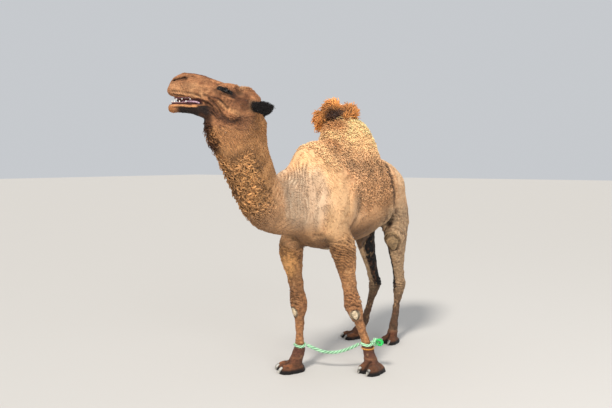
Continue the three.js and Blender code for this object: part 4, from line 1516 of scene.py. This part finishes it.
def twisted(path, radius, tint, groove, strands=3, sides=8, lay=0.1, closed=False):
    """A laid rope: strands wound round a path, as one bmesh with painted shade in its grooves."""
    path = np.asarray(path)
    shape = bmesh.new()
    layer = shape.verts.layers.float_color.new("markings")
    way = unit(np.gradient(path, axis=0))
    if closed:
        way = unit(np.roll(path, -1, 0) - np.roll(path, 1, 0))
    side = unit(np.cross(way, (0.05, 0.02, 1)))
    over = np.cross(side, way)
    run = np.append(0, np.cumsum(np.linalg.norm(np.diff(path, axis=0), axis=1)))
    turns = run / lay
    if closed:
        whole = run[-1] + np.linalg.norm(path[0] - path[-1])
        turns = run / whole * round(whole / lay)
    strand = radius * 0.50
    tint, groove = np.array(tint), np.array(groove)
    for number in range(strands):
        angle = 2 * math.pi * (turns + number / strands)
        centres = path + (side * np.cos(angle)[:, None] + over * np.sin(angle)[:, None]) * (radius - strand)
        rings = []
        for core, centre, a, b in zip(path, centres, side, over):
            ring = []
            for t in np.arange(sides) * 2 * math.pi / sides:
                vert = shape.verts.new(centre + (a * math.cos(t) + b * math.sin(t)) * strand)
                # Painted shade: the groove colour where the strand turns in towards the rope's core.
                outer = rising(np.linalg.norm(np.array(vert.co) - core), 0.45 * radius, 0.98 * radius)
                vert[layer] = (*(groove + (tint - groove) * outer), 1)
                ring.append(vert)
            rings.append(ring)
        if closed:
            rings.append(rings[0])
        for first, second in zip(rings[:-1], rings[1:]):
            for i in range(sides):
                j = (i + 1) % sides
                shape.faces.new((first[i], first[j], second[j], second[i]))
        if not closed:
            shape.faces.new(rings[0][::-1])
            shape.faces.new(rings[-1])
    bmesh.ops.recalc_face_normals(shape, faces=shape.faces)
    return shape


def mesh_of(shape, name, smooth=True):
    """A bmesh as a finished mesh, shaded smooth or flat."""
    mesh = bpy.data.meshes.new(name)
    shape.to_mesh(mesh)
    shape.free()
    mesh.polygons.foreach_set("use_smooth", [smooth] * len(mesh.polygons))
    return mesh


def rope_material(name):
    """Fibres in the colours of the rope's points."""
    return hair_material(name, 0.35, 420, 0.6, 0.0015, 0.6, 0.1)


# ---- Operators ----


class CAMEL_OT_view(bpy.types.Operator):
    """Place the camera"""

    bl_idname = "camel.view"
    bl_label = "Camera"

    def execute(self, context):
        camera = bpy.data.cameras.new("camera")
        camera.lens = LENS
        camera.sensor_width = 36
        holder = bpy.data.objects.new("camera", camera)
        holder.location = CAMERA_PLACE
        holder.rotation_euler = CAMERA_TURN
        context.scene.collection.objects.link(holder)
        context.scene.camera = holder
        return {"FINISHED"}


class CAMEL_OT_hobble(bpy.types.Operator):
    """Make the rope between the forelegs, its loops and knot, and the ankle cord"""

    bl_idname = "camel.hobble"
    bl_label = "Hobble"

    def execute(self, context):
        settings = context.scene.camel
        material = rope_material("rope_fibre")
        tint = tuple(settings.rope_colour)
        # The colour of the painted shade in the rope's grooves.
        groove = tuple(0.16 * value for value in tint)
        path = smooth_path(ROPE_PATH, 12)
        shape = twisted(path, ROPE_DIAMETER / 2, tint, groove)
        span = add_piece("rope_span", mesh_of(shape, "rope_span"), material)
        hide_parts("hobble_span")
        for side in ("left", "right"):
            node = f"hobble_loop_{side}"
            low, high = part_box(node)
            middle = (low + high) / 2
            radius = (high.x - low.x) / 2 - ROPE_DIAMETER / 2
            ring = [
                middle + Vector((math.cos(t) * radius, math.sin(t) * radius, 0.004 * math.sin(2 * t)))
                for t in np.arange(40) * 2 * math.pi / 40
            ]
            shape = twisted(ring, ROPE_DIAMETER * 0.42, tint, groove, closed=True)
            loop = add_piece(f"rope_loop_{side}", mesh_of(shape, "loop"), material)
            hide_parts(node)
        self.make_knot(material, tint, groove, tuple(settings.knot_colour))
        low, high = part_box("ankle_cord")
        middle = (low + high) / 2
        radius = (high.x - low.x) / 2 - 0.007
        ring = [
            middle + Vector((math.cos(t) * radius, math.sin(t) * radius, 0.003 * math.sin(t)))
            for t in np.arange(60) * 2 * math.pi / 60
        ]
        cord_tint = tuple(settings.cord_colour)
        # The cord's grooves get painted shade, a quarter as bright as its colour.
        shape = twisted(ring, 0.0065, cord_tint, tuple(0.25 * v for v in cord_tint), 2, 6, 0.03, True)
        cord = add_piece("cord_ring", mesh_of(shape, "cord"), material)
        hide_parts("ankle_cord")
        return {"FINISHED"}

    def make_knot(self, material, tint, groove, bright):
        """Wraps of the rope, a bow of brighter rope and frayed fibres."""
        low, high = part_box("hobble_knot")
        middle = (low + high) / 2
        half = (high - low) / 2
        wraps = []
        for t in np.linspace(0, 3.4 * 2 * math.pi, 120):
            wraps.append(middle + Vector((
                half.x * (-0.45 + 0.05 * t / math.pi),
                half.y * 0.55 * math.sin(t),
                half.z * 0.62 * math.cos(t),
            )))
        shape = twisted(wraps, ROPE_DIAMETER * 0.36, tint, groove, lay=0.06)
        knot = add_piece("rope_knot", mesh_of(shape, "knot"), material)
        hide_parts("hobble_knot")
        # The colour of the painted shade in the bow's grooves.
        dark = tuple(0.14 * value for value in bright)
        for number, (x, lean, wide) in enumerate(((0.46, 0.25, 0.9), (0.30, -0.5, 0.75))):
            bow = [
                middle + Vector((
                    half.x * (x + 0.42 * math.cos(t)),
                    half.y * (0.5 * math.sin(t) * lean + 0.12 * number),
                    half.z * (wide * 0.66 * math.sin(t) + 0.1),
                ))
                for t in np.arange(36) * 2 * math.pi / 36
            ]
            shape = twisted(bow, ROPE_DIAMETER * 0.30, bright, dark, lay=0.05, closed=True)
            add_piece(f"rope_bow_{number}", mesh_of(shape, "bow"), material)
        rng = np.random.default_rng(7)
        count = 90
        start = np.array(middle) + rng.normal(0, 1, (count, 3)) * np.array(half) * (0.28, 0.2, 0.2)
        way = unit(rng.normal(0, 1, (count, 3)) + (0.5, -0.2, 0.5))
        share = np.linspace(0, 1, 4)
        long = rng.uniform(0.018, 0.040, count)
        lines = start[:, None] + way[:, None] * (long[:, None] * share)[..., None]
        lines[..., 2] -= 0.008 * share**2
        colours = np.where(rng.random(count)[:, None] < 0.5, np.array(tint), np.array(bright))
        up = unit(np.cross(way, (0.3, 0.9, 0.2)))
        spots = rng.uniform(0.05, 0.95, (count, 2))
        frayed = lock_mesh(lines, up, np.full(count, 0.0022), 0.6, colours, spots)
        add_piece("rope_fray", frayed, material)


class CAMEL_OT_skin(bpy.types.Operator):
    """Make the skin over the whole animal"""

    bl_idname = "camel.skin"
    bl_label = "Skin"

    def execute(self, context):
        mesh = base_shape()
        detailed = [(eye, 0.052, 2) for eye in eye_centres()]
        for side in (1, -1):
            detailed.append((on_head(46 * side, 84, 92), 0.05, 1))
            detailed.append((on_head(66 * side, 280, -70), 0.075, 1))
        finer(mesh, detailed)
        clay = Clay(mesh)
        for place, reach, passes in MEETINGS:
            clay.smooth(place, reach, 0.6, passes)
        clay.renew()
        clay.sort()
        shape_body(clay)
        shape_face(clay)
        shape_eyes(clay)
        shape_feet(clay)
        depth = coat_depth(clay.weights, clay.wool) * rising(clay.points[:, 2], 0.0, 0.02)
        depth *= rising(from_eyes(clay.points), 0.03, 0.05)
        clay.push(-depth / MM)
        clay.renew()
        thinned = self.thin(context, clay)
        self.dress(thinned, context.scene.camel)
        material = hair_material("skin_hair", 0.2, 110, 0.55, 0.006, sheen=0.05, creased=True)
        skin = add_piece("skin", thinned, material)
        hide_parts(*BODY_NODES, *HEAD_NODES)
        return {"FINISHED"}

    def thin(self, context, clay):
        """Fewer triangles, taken mostly from the broad parts."""
        mesh = clay.mesh
        part = clay.part
        kept = np.clip(part["head"] + part["foot"] * 0.5 + part["ear"] * 0.3, 0, 1)
        kept = np.maximum(kept, 0.25 * (part["foreleg"] + part["hindleg"]))
        piece = bpy.data.objects.new("work", mesh)
        group = piece.vertex_groups.new(name="keep")
        for level in range(11):
            chosen = np.where(np.round(kept * 10) == level)[0]
            group.add(chosen.tolist(), 1 - level / 10, "REPLACE")
        context.scene.collection.objects.link(piece)
        modifier = piece.modifiers.new("work", "DECIMATE")
        modifier.ratio = min(context.scene.camel.skin_triangles / (2 * len(mesh.polygons)), 1)
        modifier.vertex_group = "keep"
        modifier.vertex_group_factor = 1.0
        done = piece.evaluated_get(context.evaluated_depsgraph_get())
        thinned = bpy.data.meshes.new_from_object(done)
        bpy.data.objects.remove(piece)
        bpy.data.meshes.remove(mesh)
        return thinned

    def dress(self, mesh, settings):
        """Gives the skin its colours and what the coat needs to know of it."""
        weights = part_weights(mesh)
        set_markings(mesh, markings(mesh, weights, settings))
        set_attribute(mesh, "lie", "FLOAT_VECTOR", lie_of_coat(mesh, weights))
        set_attribute(mesh, "wool", "FLOAT", wool_share(mesh, weights))
        set_attribute(mesh, "creases", "FLOAT", crease_share(weights, coords(mesh)))
        for name, share in by_part(weights).items():
            set_attribute(mesh, f"part_{name}", "FLOAT", share)
        mesh.polygons.foreach_set("use_smooth", [True] * len(mesh.polygons))


class CAMEL_OT_eyes(bpy.types.Operator):
    """Make the eyes and their lashes"""

    bl_idname = "camel.eyes"
    bl_label = "Eyes"

    def execute(self, context):
        material, _, surface = new_material("eye_wet")
        surface.inputs["Base Color"].default_value = (*linear(26, 15, 10), 1)
        surface.inputs["Roughness"].default_value = 0.12
        surface.inputs["Coat Weight"].default_value = 0.6
        hair = hair_material("lash_hair", 0.1, 200, 0.2, 0.001)
        for side, mirror, centre in zip(("left", "right"), (1, -1), eye_centres()):
            shape = bmesh.new()
            bmesh.ops.create_uvsphere(shape, u_segments=40, v_segments=28, radius=EYE_RADIUS * MM * 0.93)
            bmesh.ops.transform(shape, matrix=Matrix.Translation(centre), verts=shape.verts)
            eye = add_piece(f"eyeball_{side}", mesh_of(shape, "eye"), material)
            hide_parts(f"{side}_eye")
            add_piece(f"lashes_{side}", self.lashes(mirror), hair)
        return {"FINISHED"}

    def lashes(self, mirror):
        """Long lashes on the upper lid and short ones on the lower."""
        rng = np.random.default_rng(11)
        outward, back, up = eye_axes(mirror)
        lines = []
        for count, level, long, droop in ((110, 0.34, 26, -0.10), (50, -0.32, 11, -0.35)):
            for t in np.linspace(-0.98, 0.98, count):
                t += rng.normal(0, 0.01)
                rise = level * math.sqrt(max(1 - (t / 1.05) ** 2, 0))
                out = math.sqrt(max(1.2 - t * t - rise * rise, 0.02))
                root = (back * t + up * rise + outward * out) * EYE_RADIUS
                way = unit(outward + back * (0.5 * t + 0.25) + up * (droop + rng.normal(0, 0.12)))
                reach = long * (1 - 0.45 * t * t) * rng.uniform(0.75, 1.15)
                share = np.linspace(0, 1, 4)[:, None]
                curve = up * (0.22 * share**2 if level > 0 else -0.15 * share**2)
                lines.append(root + (way * share + curve) * reach)
        lines = out_of_head(np.array(lines) + np.array(EYE_AT) * (mirror, 1, 1))
        count = len(lines)
        upward = np.tile(np.array(HEAD)[:3, :3] @ up, (count, 1))
        spots = rng.uniform(0.05, 0.95, (count, 2))
        black = np.tile(np.array(BLACK), (count, 1))
        return lock_mesh(lines, upward, np.full(count, 0.0015), 0.8, black, spots)


class CAMEL_OT_mouth(bpy.types.Operator):
    """Make the teeth, the tongue and the lining of the mouth"""

    bl_idname = "camel.mouth"
    bl_label = "Mouth"

    def execute(self, context):
        ivory = hair_material("tooth_ivory", 0.12, 90, 0.15, 0.001, 0.25, 0.0)
        gum, crown = np.array(linear(112, 70, 72)), np.array(linear(244, 238, 226))
        for node, gum_level, way in (("upper_teeth", -18, -1), ("lower_teeth", -49, 1)):
            mesh = softened(node, 0.0002, 0.0011, 4)
            height = (into_head(coords(mesh))[:, 2] - gum_level) * way
            share = rising(height, 3, 6)[:, None]
            set_markings(mesh, gum * (1 - share) + crown * share)
            piece = add_piece(f"{node}_smooth", mesh, ivory)
            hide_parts(node)
        pink, deep_pink = linear(218, 186, 200), linear(176, 128, 144)
        flesh = speckled_material("tongue_flesh", pink, deep_pink, 120, 0.3, 0.4)
        tongue = add_piece("tongue_smooth", softened("tongue", 0.0002, 0.0016, 8), flesh)
        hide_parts("tongue")
        lining = speckled_material("mouth_lining", linear(70, 26, 26), linear(112, 52, 52), 60, 0.4, 0.3)
        place = HEAD @ Matrix.Translation(Vector((0, 158, -33)) * MM)
        place = place @ Matrix.Diagonal((0.012, 0.098, 0.022, 1))
        shape = bmesh.new()
        bmesh.ops.create_uvsphere(shape, u_segments=20, v_segments=14, radius=1)
        bmesh.ops.transform(shape, matrix=place, verts=shape.verts)
        add_piece("mouth_lining", mesh_of(shape, "lining"), lining)
        return {"FINISHED"}


class CAMEL_OT_nails(bpy.types.Operator):
    """Make the toenails"""

    bl_idname = "camel.nails"
    bl_label = "Nails"

    def execute(self, context):
        horn = speckled_material("nail_horn", linear(58, 52, 48), linear(190, 186, 176), 34, 0.45, 0.3)
        for leg in LEG_NAMES:
            for place in ("inner", "outer"):
                node = f"{leg}_nail_{place}"
                piece = add_piece(f"{node}_horn", softened(node, 0.0004, 0.0024, 6), horn)
                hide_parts(node)
        return {"FINISHED"}


class CAMEL_OT_coat(bpy.types.Operator):
    """Grow the short coat and the curled wool"""

    bl_idname = "camel.coat"
    bl_label = "Coat"

    def execute(self, context):
        settings = context.scene.camel
        skin = bpy.data.objects["skin"]
        areas = coat_areas(skin.data)
        coat = hair_material("coat_hair", 0.14, 160, 0.3, 0.002, sheen=0.1)
        dark = hair_material("dark_hair", 0.2, 200, 0.3, 0.001, 0.5, 0.0)
        for seed, (name, line, spacing, length, width, rise, spread, make) in enumerate(COAT_JOBS):
            roots = Roots(skin, areas[name].astype(float), spacing, 100 + seed)
            slot, material = ("dark_hair", dark) if name in ("beard", "ear_hair") else ("coat", coat)
            woolly = make in (CURLS, LOCKS, SMALL)
            length *= settings.wool_length if woolly else settings.hair_length
            fur(name, roots, line, material, slot, length, width, rise, spread, **make)
        return {"FINISHED"}


class CAMEL_OT_tufts(bpy.types.Operator):
    """Make the mop of wool on the hump and the tassel of the tail"""

    bl_idname = "camel.tufts"
    bl_label = "Mop and tassel"

    def execute(self, context):
        material = hair_material("tuft_hair", 0.2, 140, 0.4, 0.003, sheen=0.1)
        self.make_mop(material)
        self.make_tassel(material)
        return {"FINISHED"}

    def make_mop(self, material):
        """A lumpy ball of long wool, with painted shade in the middle of its front and between its lumps,
        and painted light on their tops.
        """
        mop = self.core("hump_tuft", 0.009, 10, 0.016)
        points, normals = coords(mop), normals_of(mop)
        lump = cloud(points, 0.085, 51)
        points = points + normals * (lump * 0.013)[:, None]
        set_coords(mop, points)
        # Painted shade: dark in the middle of the front, the wool's own colour further out.
        away = points - np.array(at(15, -225, 2085))
        share = rising(np.linalg.norm(away, axis=1), 0.036, 0.092)[:, None]
        shade = np.array(linear(72, 40, 20)) * (1 - share) + np.array(linear(232, 156, 84)) * share
        # Painted shade in the lows between the lumps and painted light on their tops.
        shade *= (0.86 + 0.34 * lump + 0.16 * cloud(points, 0.03, 41))[:, None]
        swirl = np.cross(normals, unit(away))
        self.dress(mop, shade, away / 0.1 + 0.6 * swirl + (0, 0, -0.25))
        core = add_piece("mop_core", mop, material)
        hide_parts("hump_tuft")
        upright = [at(-20, -110, 1900), at(-20, -110, 2260)]
        for seed, (name, spacing, length, width, rise, coil) in enumerate((
            ("mop_locks", 0.0105, 0.070, 0.0095, 0.018, 0.011),
            ("mop_curls", 0.0092, 0.036, 0.0055, 0.022, 0.007),
        )):
            roots = Roots(core, np.ones(len(points)), spacing, 300 + seed)
            fur(name, roots, upright, material, "tuft_wool", length, width, rise, 0.7, coil=coil, **MOP)

    def make_tassel(self, material):
        """Dark hair that hangs from the tip of the tail."""
        tassel = self.core("tail_tassel", 0.007, 8, 0.010)
        count = len(tassel.vertices)
        down = np.tile((0.0, 0.05, -1.0), (count, 1))
        self.dress(tassel, np.tile(np.array(linear(62, 40, 28)), (count, 1)), down)
        core = add_piece("tassel_core", tassel, material)
        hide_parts("tail_tassel")
        roots = Roots(core, np.ones(count), 0.0085, 310)
        line = [at(78, 875, 1150), at(84, 870, 880)]
        fur("tassel_locks", roots, line, material, "dark_hair", 0.070, 0.006, 0.008, 0.25, **TASSEL)

    def core(self, node, voxel, passes, inset):
        """The solid's shape, softened and drawn in by the locks' depth."""
        mesh = softened(node, 0.0, voxel, passes)
        set_coords(mesh, coords(mesh) - normals_of(mesh) * inset)
        return mesh

    def dress(self, mesh, shades, lie):
        """Gives a core its colours and the lie of its locks."""
        normals = normals_of(mesh)
        lie = lie - normals * np.sum(lie * normals, axis=1)[:, None]
        set_markings(mesh, np.clip(shades, 0, 1))
        set_attribute(mesh, "lie", "FLOAT_VECTOR", unit(lie))


class CAMEL_OT_stage(bpy.types.Operator):
    """Make the floor and the lights"""

    bl_idname = "camel.stage"
    bl_label = "Stage"

    def execute(self, context):
        shape = bmesh.new()
        bmesh.ops.create_grid(shape, x_segments=1, y_segments=1, size=60)
        floor = bpy.data.objects.new("floor", mesh_of(shape, "floor", False))
        context.scene.collection.objects.link(floor)
        material, _, surface = new_material("floor_plain")
        surface.inputs["Base Color"].default_value = (0.56, 0.54, 0.51, 1)
        surface.inputs["Roughness"].default_value = 0.9
        floor.data.materials.append(material)
        key = self.lamp(context, "key", "SUN", Vector((0.1, -0.68, 0.73)), 3.1, (1.0, 0.95, 0.88))
        key.angle = math.radians(12)
        fill = self.lamp(context, "fill", "AREA", Vector((5.5, -3.0, 3.5)), 190, (0.93, 0.96, 1.0))
        fill.size = 4.0
        world = bpy.data.worlds.new("studio")
        world.use_nodes = True
        background = world.node_tree.nodes["Background"]
        background.inputs["Color"].default_value = (0.86, 0.89, 0.93, 1)
        background.inputs["Strength"].default_value = 0.66
        context.scene.world = world
        context.scene.view_settings.view_transform = "Standard"
        return {"FINISHED"}

    def lamp(self, context, name, kind, place, power, tint):
        """A light at a place, turned towards the animal."""
        light = bpy.data.lights.new(name, kind)
        light.energy = power
        light.color = tint
        holder = bpy.data.objects.new(name, light)
        holder.location = place
        target = Vector((0, 0, 0)) if kind == "SUN" else Vector((0, 0, 1.1))
        holder.rotation_euler = (target - place).to_track_quat("-Z", "Y").to_euler()
        context.scene.collection.objects.link(holder)
        return light


class CamelSettings(bpy.types.PropertyGroup):
    """Sizes and colours of the camel"""

    coat_colour: FloatVectorProperty(
        name="Coat colour", description="Ground colour of the trunk", subtype="COLOR", size=3,
        default=linear(204, 156, 112), min=0, max=1,
    )
    face_colour: FloatVectorProperty(
        name="Face colour", description="Ground colour of the head", subtype="COLOR", size=3,
        default=linear(156, 106, 70), min=0, max=1,
    )
    foreleg_colour: FloatVectorProperty(
        name="Foreleg colour", description="Ground colour of the forelegs", subtype="COLOR", size=3,
        default=linear(160, 114, 74), min=0, max=1,
    )
    hindleg_colour: FloatVectorProperty(
        name="Hind leg colour", description="Ground colour of the hind legs", subtype="COLOR", size=3,
        default=linear(174, 142, 108), min=0, max=1,
    )
    wool_length: FloatProperty(
        name="Wool length", description="Length of the curled locks, as a share of the natural one",
        subtype="FACTOR", default=1.0, min=0.5, max=1.5,
    )
    hair_length: FloatProperty(
        name="Hair length", description="Length of the flat hair, as a share of the natural one",
        subtype="FACTOR", default=1.0, min=0.5, max=1.5,
    )
    skin_triangles: IntProperty(
        name="Skin triangles", description="Most triangles in the skin", subtype="UNSIGNED",
        default=SKIN_TRIANGLES, min=20000, max=199000,
    )
    rope_colour: FloatVectorProperty(
        name="Rope colour", description="Colour of the hobble rope", subtype="COLOR", size=3,
        default=linear(168, 220, 176), min=0, max=1,
    )
    knot_colour: FloatVectorProperty(
        name="Knot colour", description="Colour of the bow in the hobble", subtype="COLOR", size=3,
        default=linear(60, 206, 104), min=0, max=1,
    )
    cord_colour: FloatVectorProperty(
        name="Cord colour", description="Colour of the thin cord, left pastern", subtype="COLOR", size=3,
        default=linear(232, 160, 70), min=0, max=1,
    )


class CAMEL_PT_panel(bpy.types.Panel):
    """The camel's tools"""

    bl_idname = "CAMEL_PT_panel"
    bl_label = "Camel"
    bl_space_type = "VIEW_3D"
    bl_region_type = "UI"
    bl_category = "Camel"

    def draw(self, context):
        for name in CamelSettings.__annotations__:
            self.layout.prop(context.scene.camel, name)
        for step in STEPS:
            self.layout.operator(step.bl_idname)


STEPS = (
    CAMEL_OT_view,
    CAMEL_OT_hobble,
    CAMEL_OT_skin,
    CAMEL_OT_eyes,
    CAMEL_OT_mouth,
    CAMEL_OT_nails,
    CAMEL_OT_coat,
    CAMEL_OT_tufts,
    CAMEL_OT_stage,
)
CLASSES = (CamelSettings, *STEPS, CAMEL_PT_panel)


def register():
    """Adds the settings, the tools and the panel."""
    for made in CLASSES:
        bpy.utils.register_class(made)
    bpy.types.Scene.camel = PointerProperty(type=CamelSettings)


def unregister():
    """Takes away what register adds."""
    del bpy.types.Scene.camel
    for made in reversed(CLASSES):
        bpy.utils.unregister_class(made)


def main():
    """Builds the animal and its stage."""
    register()
    bpy.ops.camel.view()
    bpy.ops.camel.hobble()
    bpy.ops.camel.skin()
    bpy.ops.camel.eyes()
    bpy.ops.camel.mouth()
    bpy.ops.camel.nails()
    bpy.ops.camel.coat()
    bpy.ops.camel.tufts()
    bpy.ops.camel.stage()


if __name__ == "__main__":
    main()
